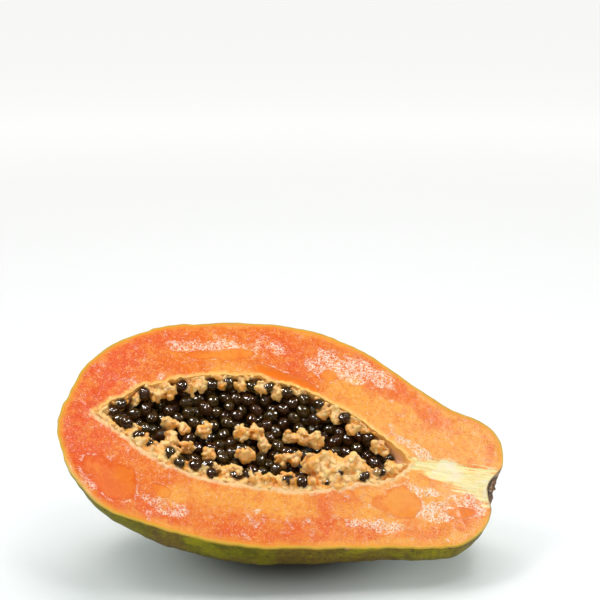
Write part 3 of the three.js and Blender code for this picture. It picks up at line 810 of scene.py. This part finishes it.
class PAPAYA_OT_skin(bpy.types.Operator):
    """Makes the thin green skin round the flesh"""
    bl_idname = "papaya.skin"
    bl_label = "Skin"

    def execute(self, context):
        sizes, look = context.scene.papaya_sizes, context.scene.papaya_colours
        outer, _ = rim_lines()
        thick = sizes.skin_thickness / MM
        inner = outer + inward(outer) * thick
        shape = Shape()
        loops = [shape.add(np.column_stack([line, np.full(len(line), drop)]))
                 for line, drop in ((outer, -0.12), (inner, 0.0))]
        rows = np.stack(loops)
        shape.grid(np.column_stack([rows, rows[:, 0]]).T)
        shape.bowl(outer, SKIN_COLUMNS, loops[0], skin=True)
        inside = shape.bowl(inner, INSIDE_COLUMNS, loops[1], skin=True, flip=True)
        points = shape.joined()
        fade = smooth(0, 6, -points[:, 2])
        fade[inside.ravel()] = 0
        # The skin's unevenness moves it out from a line along the fruit
        out = points - (0, 0, 8.0)
        out[:, 0] *= 0.3
        out /= np.linalg.norm(out, axis=1)[:, None]
        places = points + out * ((relief(points, SKIN_RELIEF) - 0.2) * fade)[:, None]
        least = np.zeros(len(points))
        least[inside.ravel()] = thick
        places = lift_off_table(places, least)
        stalk = smooth(15, 11, np.linalg.norm(points - STALK_END, axis=1))
        lip = 0.75 * smooth(-1.0, -0.2, points[:, 2])
        piece = shape.object("skin", [skin_material(look)], places, {"stalk": stalk, "lip": lip})
        piece.data.set_sharp_from_angle(angle=math.radians(60))
        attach(piece, "root")
        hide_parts("flesh_and_skin")
        return {"FINISHED"}


def bed_level(u, v):
    """Height of the seed bed's top under the cut, in mm."""
    start, deep, still, end = BED_ENDS
    along = smooth(start, deep, u) * (1 - smooth(still, end, u))
    across = (v - BED_MIDDLE[0]) / BED_MIDDLE[1]
    return -BED_EDGE - BED_BOWL * along * np.maximum(0, 1 - across * across)


def place_lumps():
    """The pulp's lumps as rows of u, v, w, radius and 1 for one that grows from the wall."""
    random = iter(draws(LUMP_DRAWS, 400))
    lumps = []
    start, end = ROW_SPAN
    for side, inset, depth, grow, share, count in LUMP_ROWS:
        for k in range(count):
            keep, shift, size = next(random), next(random) - 0.5, next(random) - 0.5
            if keep > share:
                continue
            step = (k + 0.5 + ROW_SHIFT[0] * shift) / count
            far = side == "far"
            u, v = edge_points(CAVITY_RIM, 0 if far else 2, [start + (end - start) * step])[0]
            v += (-1 if far else 1) * (inset + ROW_SHIFT[1] * shift)
            lumps.append((u, v, size - depth, LUMP_RADIUS + grow + size, 0))
    middle_u, middle_v, long, wide, depth, grow, count = CLUSTER
    for k in range(count):
        turn, reach, size = next(random), math.sqrt(next(random)), next(random) - 0.5
        lumps.append((middle_u + long * reach * math.cos(2 * math.pi * turn),
                      middle_v + wide * reach * math.sin(2 * math.pi * turn),
                      size - depth, LUMP_RADIUS + grow + size, 0))
    for u, v in CRUMBS:
        size = next(random) - 0.5
        lumps.append((u, v, float(bed_level(u, v)) + CRUMB_RISE + size, LUMP_RADIUS + size, 1))
    return np.array(lumps)


def mouth_at(s):
    """Place along the fruit, middle and half width of the cavity's mouth at shares s."""
    high, low = edge_points(CAVITY_RIM, 0, s), edge_points(CAVITY_RIM, 2, s)
    return high[:, 0], (high[:, 1] + low[:, 1]) / 2, (high[:, 1] - low[:, 1]) / 2


def wall_at(half, w):
    """How far the cavity's wall stands from the middle of the mouth at a height w."""
    return half * np.sqrt(np.maximum(0, 1 - (w / (CAVITY_DEPTH * np.maximum(half, 1e-6))) ** 2))


def place_seeds(lumps, radius):
    """The seeds of the part's source as rows of u, v, w, turn and lean."""
    share, across, turn, lean, rise = draws(SEED_DRAWS, 5 * SEED_TRIES).reshape(-1, 5).T
    s = SEED_SPAN[0] + (SEED_SPAN[1] - SEED_SPAN[0]) * share
    u, middle, half = mouth_at(s)
    v = middle + half * (2 * across - 1)
    margin = PULP_SINK + PULP_WALL + GAP + radius
    spacing = 2 * radius * SEED_SPACING
    top = bed_level(u, v) + SEED_RISE + SEED_DRAW * rise
    free = []
    for level in range(SEED_LEVELS):
        w = top - level * SEED_STEP
        inside = np.abs(v - middle) <= wall_at(half, w) - margin
        clear = np.ones(len(u), bool)
        for a, b, c, r, rooted in lumps:
            over = np.maximum(0, w - c) if rooted else w - c
            clear &= (u - a) ** 2 + (v - b) ** 2 + over**2 >= (radius + LUMP_CLEAR * r) ** 2
        free.append((w, inside, clear))
    seeds = np.empty((0, 3))
    kept = []
    for k in np.flatnonzero(free[0][1]):
        for w, inside, clear in free:
            if not inside[k]:
                break
            if not clear[k]:
                continue
            place = np.array([u[k], v[k], w[k]])
            if ((seeds - place) ** 2).sum(1).min(initial=1e9) < spacing**2:
                continue
            seeds = np.vstack([seeds, place])
            kept.append((*place, turn[k], lean[k] - 0.5))
            break
    return np.array(kept)


def unit_ball(rings, sides):
    """Points and faces of a round ball of radius 1."""
    points, faces = [(0, 0, 1)], []
    for i in range(1, rings):
        a = math.pi * i / rings
        for j in range(sides):
            b = 2 * math.pi * (j + 0.5 * (i % 2)) / sides
            points.append((math.sin(a) * math.cos(b), math.sin(a) * math.sin(b), math.cos(a)))
    points.append((0, 0, -1))
    last = len(points) - 1
    for j in range(sides):
        k = (j + 1) % sides
        faces.append((0, 1 + j, 1 + k))
        faces.append((last, last - sides + k, last - sides + j))
        for i in range(rings - 2):
            a, b = 1 + i * sides, 1 + (i + 1) * sides
            if i % 2:
                faces += [(a + j, b + j, a + k), (a + k, b + j, b + k)]
            else:
                faces += [(a + j, b + j, b + k), (a + j, b + k, a + k)]
    return np.array(points), faces


def turned(points, lean, turn):
    """Points leant about the second axis, then turned about the third."""
    x, y, z = points.T
    x, z = x * math.cos(lean) + z * math.sin(lean), z * math.cos(lean) - x * math.sin(lean)
    x, y = x * math.cos(turn) - y * math.sin(turn), x * math.sin(turn) + y * math.cos(turn)
    return np.stack([x, y, z], 1)


def strew_balls(name, seeds, radius, long, wrinkle, material, rings):
    """Oval balls at the places of seeds, each a little different, as one piece."""
    ball, faces = unit_ball(rings, rings + rings // 3)
    rng = np.random.default_rng(61)
    shape, tints = Shape(), []
    for u, v, w, turn, lean in seeds:
        stretch = np.array([long * rng.uniform(0.95, 1.12), 1, 0.92]) * rng.uniform(0.9, 1.04)
        uneven = 1 + wrinkle * waves(ball, 0.8, int(rng.integers(1 << 30)), 7)
        points = ball * stretch * uneven[:, None] * radius
        shape.add_ball(turned(points, lean, math.pi * turn) + (u, v, w), faces)
        tints.append(np.full(len(ball), rng.uniform()))
    return shape.object(name, [material], None, {"tint": np.concatenate(tints)})


def nearest_cells(points, size):
    """Distances to the two nearest of many strewn middles, and the nearest one's draw."""
    rng = np.random.default_rng(57)
    low, high = points.min(0) - size, points.max(0) + size
    counts = np.ceil((high - low) / size).astype(int)
    cells = np.stack(np.meshgrid(*[np.arange(n) for n in counts], indexing="ij"), -1).reshape(-1, 3)
    middles = low + (cells + rng.uniform(0.05, 0.95, cells.shape)) * size
    draw = rng.uniform(0, 1, len(cells))
    tree = search_tree(middles)
    found = [tree.find_n(point, 2) for point in points]
    first, second = (np.array([near[k][2] for near in found]) for k in (0, 1))
    return first, second, draw[[near[0][1] for near in found]]


def melted(piece, size, smoothing):
    """Melts overlapping balls into one lumpy surface and says its mesh."""
    step = piece.modifiers.new("melt", "REMESH")
    step.mode, step.voxel_size, step.use_smooth_shade = "VOXEL", size, True
    ease = piece.modifiers.new("ease", "SMOOTH")
    ease.factor, ease.iterations = 0.5, smoothing
    bpy.context.view_layer.update()
    view = piece.evaluated_get(bpy.context.evaluated_depsgraph_get())
    mesh = bpy.data.meshes.new_from_object(view)
    old = piece.data
    piece.modifiers.clear()
    piece.data = mesh
    bpy.data.meshes.remove(old)
    return mesh


class PAPAYA_OT_pulp(bpy.types.Operator):
    """Makes the pale lumpy pulp along the cavity's edges and among the seeds"""
    bl_idname = "papaya.pulp"
    bl_label = "Pulp"

    def execute(self, context):
        sizes, look = context.scene.papaya_sizes, context.scene.papaya_colours
        pebble, faces = unit_ball(4, 6)
        rng = np.random.default_rng(7)
        shape = Shape()

        def blob(place, radius):
            """Adds one uneven ball."""
            uneven = rng.uniform(0.82, 1.12, (len(pebble), 1))
            spun = turned(pebble * uneven * radius, rng.uniform(-1, 1), rng.uniform(0, 6))
            shape.add_ball(spun + place, faces)

        for u, v, w, r, _ in place_lumps():
            blob((u, v, w), LUMP_CORE * r)
            for near, far, least, most in LUMP_RINGS:
                for _ in range(LUMP_BALLS):
                    way = rng.normal(size=3)
                    way /= np.linalg.norm(way)
                    blob((u, v, w) + way * r * rng.uniform(near, far), r * rng.uniform(least, most))
        _, cavity = rim_lines()
        into = inward(cavity)
        run = np.concatenate([[0], np.cumsum(np.linalg.norm(np.diff(cavity, axis=0), axis=1))])
        for inset, level, size, step, near_share, far_share in LINING_ROWS:
            for at in np.arange(0, run[-1], step):
                k = int(np.searchsorted(run, at + rng.uniform(-0.5, 0.5) * step)) % len(cavity)
                far = k < LINE_STEPS
                bare = float(smooth(*BARE_LINING, cavity[k, 0]))
                if rng.uniform() > (far_share if far else near_share) * (1 - 0.95 * bare):
                    continue
                radius = size * rng.uniform(0.6, 1.3)
                place = cavity[k] + into[k] * (inset + rng.uniform(-0.5, 0.5))
                blob((*place, level + rng.uniform(-0.6, 0.3)), radius)
        piece = shape.object("pulp_lumps", [pulp_material(look)])
        mesh = melted(piece, sizes.pulp_fineness, 2)
        count = len(mesh.vertices)
        places, normals = np.empty(count * 3), np.empty(count * 3)
        mesh.vertices.foreach_get("co", places)
        mesh.vertices.foreach_get("normal", normals)
        places, normals = places.reshape(-1, 3), normals.reshape(-1, 3)
        at = places / MM
        bent = at + 0.3 * np.stack([waves(at, 2.5, seed) for seed in (51, 52, 53)], 1)
        first, second, crumb = nearest_cells(bent, PULP_CELL)
        crease = smooth(CREASE_WIDTH, 0.0, second - first)
        rise = CELL_RISE * (crumb - 0.5) - CREASE_DEPTH * crease + 0.05 * waves(at, 0.9, 54)
        mesh.vertices.foreach_set("co", (places + normals * rise[:, None] * MM).ravel())
        far_edge = raised_side(at[:, 0], at[:, 1]) * smooth(5, 2, distance_to(cavity, at[:, :2]))
        far_edge = far_edge * smooth(-5, -2, at[:, 2])
        for name, values in (("crumb", crumb), ("crease", crease), ("far_edge", 0.8 * far_edge)):
            mesh.attributes.new(name, "FLOAT", "POINT").data.foreach_set("value", values)
        mesh.update()
        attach(piece, "root")
        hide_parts("pulp")
        return {"FINISHED"}


def wall_seeds(seeds, lumps, radius):
    """More seeds that sit in the pulp on the cavity's walls, nearly all on the raised side."""
    rng = np.random.default_rng(23)
    placed, out = seeds[:, :3].copy(), []
    for _ in range(WALL_TRIES):
        far = rng.uniform() < FAR_SHARE
        u, middle, half = (line[0] for line in mouth_at(rng.uniform(*WALL_SPAN, 1)))
        w = -rng.uniform(*(FAR_DEPTH if far else NEAR_DEPTH))
        off = wall_at(half, w) - rng.uniform(*(FAR_OFF if far else NEAR_OFF))
        if off < 1:
            continue
        place = np.array([u, middle + (off if far else -off), w])
        if ((placed - place) ** 2).sum(1).min() < (WALL_SPACING * radius) ** 2:
            continue
        near_lump = ((lumps[:, :3] - place) ** 2).sum(1) < (radius * 0.5 + 0.8 * lumps[:, 3]) ** 2
        if (far and near_lump.any()) or (not far and rng.uniform() > NEAR_KEPT):
            continue
        placed = np.vstack([placed, place])
        out.append((*place, rng.uniform(), rng.uniform(-0.5, 0.5)))
    return np.array(out)


def buried_seeds(seeds, lumps, radius):
    """More seeds in the dark under the ones on top."""
    rng = np.random.default_rng(17)
    placed, out = seeds[:, :3].copy(), []
    for _ in range(BURIED_TRIES):
        u, middle, half = (line[0] for line in mouth_at(rng.uniform(*BURIED_SPAN, 1)))
        v = middle + half * rng.uniform(-1, 1)
        w = float(bed_level(u, v)) - rng.uniform(*BURIED_DROP)
        if abs(v - middle) > wall_at(half, w) - radius - 0.6:
            continue
        place = np.array([u, v, w])
        if ((placed - place) ** 2).sum(1).min() < (BURIED_SPACING * radius) ** 2:
            continue
        if (((lumps[:, :3] - place) ** 2).sum(1) < (radius * 0.6 + 0.7 * lumps[:, 3]) ** 2).any():
            continue
        placed = np.vstack([placed, place])
        out.append((*place, rng.uniform(), rng.uniform(-0.5, 0.5)))
    return np.array(out)


class PAPAYA_OT_seeds(bpy.types.Operator):
    """Makes the dark glossy seeds, those on top and those under them"""
    bl_idname = "papaya.seeds"
    bl_label = "Seeds"

    def execute(self, context):
        sizes, look = context.scene.papaya_sizes, context.scene.papaya_colours
        lumps = place_lumps()
        radius = sizes.seed_radius / MM
        seeds = place_seeds(lumps, radius)
        if len(seeds) < 50:
            raise RuntimeError("too few seeds found room in the cavity")
        seeds = np.vstack([seeds, wall_seeds(seeds, lumps, radius)])
        below = buried_seeds(seeds, lumps, radius)
        core, gel = seed_material(look), gel_material(look)
        inner = radius * sizes.core_share
        for name, placed, size, wrinkle, material, rings in (
            ("seeds_on_top", seeds, inner, SEED_WRINKLE, core, 14),
            ("seeds_below", below, inner, SEED_WRINKLE, core, 10),
            ("gel_on_top", seeds, radius, GEL_WRINKLE, gel, 16),
            ("gel_below", below, radius, GEL_WRINKLE, gel, 10),
        ):
            piece = strew_balls(name, placed, size, sizes.seed_length, wrinkle, material, rings)
            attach(piece, "root")
            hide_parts("seeds")
        return {"FINISHED"}


class PAPAYA_OT_scar(bpy.types.Operator):
    """Makes the dry brown scar of the fruit stalk"""
    bl_idname = "papaya.scar"
    bl_label = "Stalk scar"

    def execute(self, context):
        look = context.scene.papaya_colours
        run = np.arange(SCAR_ROWS + 1) / SCAR_ROWS
        s = SCAR_FROM + (1 - SCAR_FROM) * run
        base = half_rings(edge_points(RIM, 0, s), edge_points(RIM, 2, s), SCAR_COLUMNS, True)
        share = run[:, None] * np.ones((1, SCAR_COLUMNS + 1))
        flat = base.reshape(-1, 3)
        ragged = 0.9 * np.abs(waves(flat, 2.4, 71)) + 0.5 * waves(flat, 1.1, 72)
        ragged = ragged.reshape(share.shape) * smooth(0.0, 0.2, share) * smooth(1.0, 0.85, share)
        rise = 0.4 + 1.5 * share + 0.6 * ragged
        inner, outer = base.copy(), base.copy()
        inner[..., 0] += 0.15
        outer[..., 0] += 0.15 + rise
        shape = Shape()
        low = shape.add(inner).reshape(SCAR_ROWS + 1, -1)
        high = shape.add(outer).reshape(SCAR_ROWS + 1, -1)
        low[-1, :], high[-1, :] = low[-1, 0], high[-1, 0]
        shape.grid(low, flip=True)
        shape.grid(high)
        for pair in ((high[0], low[0]), (low[:, 0], high[:, 0]), (high[:, -1], low[:, -1])):
            shape.grid(np.stack(pair), flip=True)
        piece = shape.object("stalk_scar_crust", [scar_material(look)])
        piece.data.set_sharp_from_angle(angle=math.radians(60))
        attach(piece, "root")
        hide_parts("stalk_scar")
        return {"FINISHED"}


def add_light(name, place, aim, size, watts, part):
    """A soft square light that lights all, only the glints or all but the glints."""
    data = bpy.data.lights.new(name, "AREA")
    data.shape, data.size, data.size_y, data.energy = "RECTANGLE", size[0], size[1], watts
    made = bpy.data.objects.new(name, data)
    bpy.context.scene.collection.objects.link(made)
    made.location = place
    made.rotation_euler = (Vector(aim) - Vector(place)).to_track_quat("-Z", "Y").to_euler()
    made.visible_glossy = part != "no glints"
    made.visible_diffuse = made.visible_transmission = part != "glints"


def add_floor(studio):
    """A wide pale floor that glows more the farther off it is, with no glow right round the fruit:
    painted shadow.
    """
    mesh = bpy.data.meshes.new("floor")
    corners = [(FLOOR_REACH * x, FLOOR_REACH * y, 0) for x, y in ((-1, -1), (1, -1), (1, 1), (-1, 1))]
    mesh.from_pydata(corners, [], [(0, 1, 2, 3)])
    paint = Paint("white floor", None, {"Roughness": 0.6, "Base Color": (*studio.floor, 1)})
    away = paint.put("ShaderNodeVectorMath", {0: paint.place}, operation="LENGTH").outputs["Value"]
    # Painted light and shadow: nil glow within 2 cm of the middle, where the fruit rests, rising by
    # 7.5 cm
    glow = paint.plus(paint.band(away, 0.02, 0.075, 0, studio.near_glow),
                      paint.band(away, 0.25, 1.8, 0, studio.far_glow - studio.near_glow))
    paint.feed(paint.shader["Emission Strength"], glow)
    tone = paint.mix(paint.band(away, 0.12, 0.5), studio.near_tint, studio.far_tint)
    paint.feed(paint.shader["Emission Color"], tone)
    mesh.materials.append(paint.material)
    floor = bpy.data.objects.new("floor", mesh)
    bpy.context.scene.collection.objects.link(floor)


def add_world(studio):
    """Even light from all round, and a paler backdrop where the camera sees past the floor."""
    world = bpy.data.worlds.new("studio")
    world.use_nodes = True
    nodes = Nodes(world.node_tree)
    back = world.node_tree.nodes["Background"].inputs
    seen = nodes.put("ShaderNodeLightPath").outputs["Is Camera Ray"]
    nodes.feed(back["Color"], nodes.mix(seen, studio.sky, studio.backdrop))
    nodes.feed(back["Strength"], nodes.band(seen, 0, 1, studio.ambient, BACKDROP_GLOW))
    world.cycles_visibility.glossy = False
    bpy.context.scene.world = world


class PAPAYA_OT_stage(bpy.types.Operator):
    """Sets up the pale floor, the soft studio light and the camera"""
    bl_idname = "papaya.stage"
    bl_label = "Studio"

    def execute(self, context):
        scene, studio = context.scene, context.scene.papaya_studio
        add_floor(studio)
        add_world(studio)
        for name, place, aim, size, watts, part in LIGHTS:
            add_light(name, place, aim, size, watts * studio.power, part)
        camera = bpy.data.cameras.new("camera")
        camera.lens, camera.sensor_width = studio.lens, CAMERA_SENSOR
        camera.clip_start, camera.clip_end = CAMERA_CLIP
        view = bpy.data.objects.new("camera", camera)
        view.location = CAMERA_PLACE
        view.rotation_euler = (math.radians(90 - studio.pitch), 0, 0)
        scene.collection.objects.link(view)
        scene.camera = view
        scene.view_settings.view_transform = "Standard"
        return {"FINISHED"}


def tint(name, code, told):
    """A colour that a user can change."""
    return bpy.props.FloatVectorProperty(name=name, description=told, subtype="COLOR", size=4,
                                         min=0, max=1, default=colour(code))


def length(name, told, default, least, most):
    """A length in metres that a user can change."""
    return bpy.props.FloatProperty(name=name, description=told, default=default, min=least,
                                   max=most, unit="LENGTH", subtype="DISTANCE", precision=5)


def number(name, told, default, least=0.0, most=1000.0, unit="NONE"):
    """A plain number that a user can change."""
    return bpy.props.FloatProperty(name=name, description=told, default=default, min=least,
                                   max=most, unit=unit)


class PapayaColours(bpy.types.PropertyGroup):
    """The colours of every piece"""
    flesh: tint("Flesh", "F07418", "Orange flesh")
    flesh_light: tint("Light flesh", "FCA63E", "Lighter clouds in the flesh")
    flesh_pink: tint("Pink flesh", "EC5418", "Redder flesh by the rind and the tip")
    flesh_pale: tint("Pale cells", "FDAA4C", "Palest of the flesh's fine cells")
    flesh_deep: tint("Deep cells", "E65208", "Deepest of the flesh's fine cells")
    flesh_red: tint("Red wet flesh", "FF9A58", "Smooth wet spots in the redder parts")
    flesh_wet: tint("Wet flesh", "FA8C38", "Smooth wet spots in the orange parts")
    groove: tint("Groove", "F87412", "Bright wet groove over the hollow")
    glint: tint("Glints", "FFECD4", "Pale glints on the wet cut")
    core: tint("Core", "F3D07C", "The pale fibrous strip")
    core_light: tint("Light core", "FAE6A0", "Its lightest fibres")
    rind_inner: tint("Inner rind", "F79A2C", "Rind next to the flesh")
    rind_outer: tint("Outer rind", "E8B030", "Rind next to the skin")
    lining: tint("Lining", "FFCE90", "Pale lining at the cavity's edge")
    lining_far: tint("Far lining", "FFC468", "The lining on the cavity's raised side")
    wall: tint("Cavity wall", "A85E30", "Bare wall of the cavity")
    wall_light: tint("Light cavity wall", "DCA676", "Its lighter folds")
    wall_bare: tint("Bare wall", "FFC088", "Bare wall at the cavity's stem end")
    # Painted shade: the near black of the wall deep under the seeds
    wall_painted_shade: tint("Deep cavity wall", "0E0603", "The wall in the dark under the seeds")
    skin: tint("Skin", "6C6606", "Olive green skin")
    skin_yellow: tint("Yellow skin", "98900C", "Where the skin ripens yellow")
    skin_dark: tint("Dark skin", "404004", "Darker green of the skin")
    skin_russet: tint("Russet skin", "5E3E20", "Brown-purple clouds on the skin")
    skin_speck: tint("Skin specks", "221C08", "Small dark specks")
    skin_pore: tint("Skin pores", "A07454", "Pinkish corky pores")
    pulp: tint("Pulp", "FFAC42", "Golden yellow pulp")
    pulp_light: tint("Light pulp", "FFCE7E", "Its paler parts")
    pulp_amber: tint("Amber pulp", "F89C20", "Translucent amber parts")
    # Painted shade for the pulp's creases
    pulp_crease_shade: tint("Pulp creases", "B86422", "Orange-brown creases")
    seed: tint("Seeds", "120804", "Nearly black seed")
    seed_olive: tint("Olive seeds", "1A0E06", "Seeds with an olive cast")
    seed_light: tint("Seed mottling", "4A2C0C", "Lighter mottling under the gel coat")
    gel: tint("Gel", "5A300A", "Brown gel coat of the seeds")
    gel_olive: tint("Olive gel", "5E440E", "Olive gel coat")
    gel_light: tint("Light gel", "7A541E", "Its cloudier parts")
    scar: tint("Stalk scar", "7A4E28", "Dry brown crust")
    scar_dark: tint("Dark scar", "24160A", "Its dark pits")
    scar_pale: tint("Pale scar", "C09C6C", "Its pale corky bits")


class PapayaSizes(bpy.types.PropertyGroup):
    """The sizes that a user may want to change"""
    skin_thickness: length("Skin thickness", "Thickness of the green skin", 0.00045, 0.0002, 0.002)
    seed_radius: length("Seed radius", "Half the width of a seed in its gel coat", 0.003, 0.002,
                        0.004)
    seed_length: number("Seed length", "A seed's length over its width", 1.2, 1.0, 1.5)
    core_share: number("Seed core", "Width of the dark core over the whole seed's width", 0.84,
                       0.5, 0.95)
    pulp_fineness: length("Pulp fineness", "Size of the smallest detail of the pulp's lumps",
                          0.00052, 0.0003, 0.002)


class PapayaStudio(bpy.types.PropertyGroup):
    """Floor, light and camera"""
    floor: bpy.props.FloatVectorProperty(
        name="Floor", description="Colour of the floor", subtype="COLOR", size=3, min=0, max=1,
        default=(0.70, 0.69, 0.685))
    near_glow: number("Near glow", "How much the floor close by is lit up", 0.24)
    near_tint: tint("Near tint", "F2FFFF", "Colour of the light on the floor close by")
    far_glow: number("Far glow", "How much the floor far off is lit up", 0.73)
    far_tint: tint("Far tint", "FFFCF8", "Colour of the light on the floor far off")
    sky: tint("Sky", "EFFCFF", "Colour of the even light from all round")
    backdrop: tint("Backdrop", "FFFFFE", "Colour of the air beyond the floor")
    ambient: number("Ambient", "Strength of the even light from all round", 0.42)
    power: number("Power", "Strength of all the lights", 1.0)
    lens: number("Lens", "Focal length of the camera in millimetres", 85.0, 20.0, 500.0, "CAMERA")
    pitch: number("Pitch", "How far the camera looks down, in degrees", 14.0, -90.0, 90.0)


class PAPAYA_PT_half(bpy.types.Panel):
    """The steps that dress the papaya half, in order"""
    bl_idname = "PAPAYA_PT_half"
    bl_label = "Papaya half"
    bl_space_type = "VIEW_3D"
    bl_region_type = "UI"
    bl_category = "Papaya"

    def draw(self, context):
        for step in STEPS:
            self.layout.operator(step.bl_idname)
        for group in ("papaya_sizes", "papaya_colours", "papaya_studio"):
            settings = getattr(context.scene, group)
            for key in settings.__annotations__:
                self.layout.prop(settings, key)


GROUPS = {"papaya_sizes": PapayaSizes, "papaya_colours": PapayaColours,
          "papaya_studio": PapayaStudio}
STEPS = (PAPAYA_OT_flesh, PAPAYA_OT_skin, PAPAYA_OT_pulp, PAPAYA_OT_seeds, PAPAYA_OT_scar,
         PAPAYA_OT_stage)


def register():
    for made in (*GROUPS.values(), *STEPS, PAPAYA_PT_half):
        bpy.utils.register_class(made)
    for key, group in GROUPS.items():
        setattr(bpy.types.Scene, key, bpy.props.PointerProperty(type=group))


def unregister():
    for key in GROUPS:
        delattr(bpy.types.Scene, key)
    for made in reversed((*GROUPS.values(), *STEPS, PAPAYA_PT_half)):
        bpy.utils.unregister_class(made)


def main():
    register()
    bpy.ops.papaya.flesh()
    bpy.ops.papaya.skin()
    bpy.ops.papaya.pulp()
    bpy.ops.papaya.seeds()
    bpy.ops.papaya.scar()
    bpy.ops.papaya.stage()


if __name__ == "__main__":
    main()
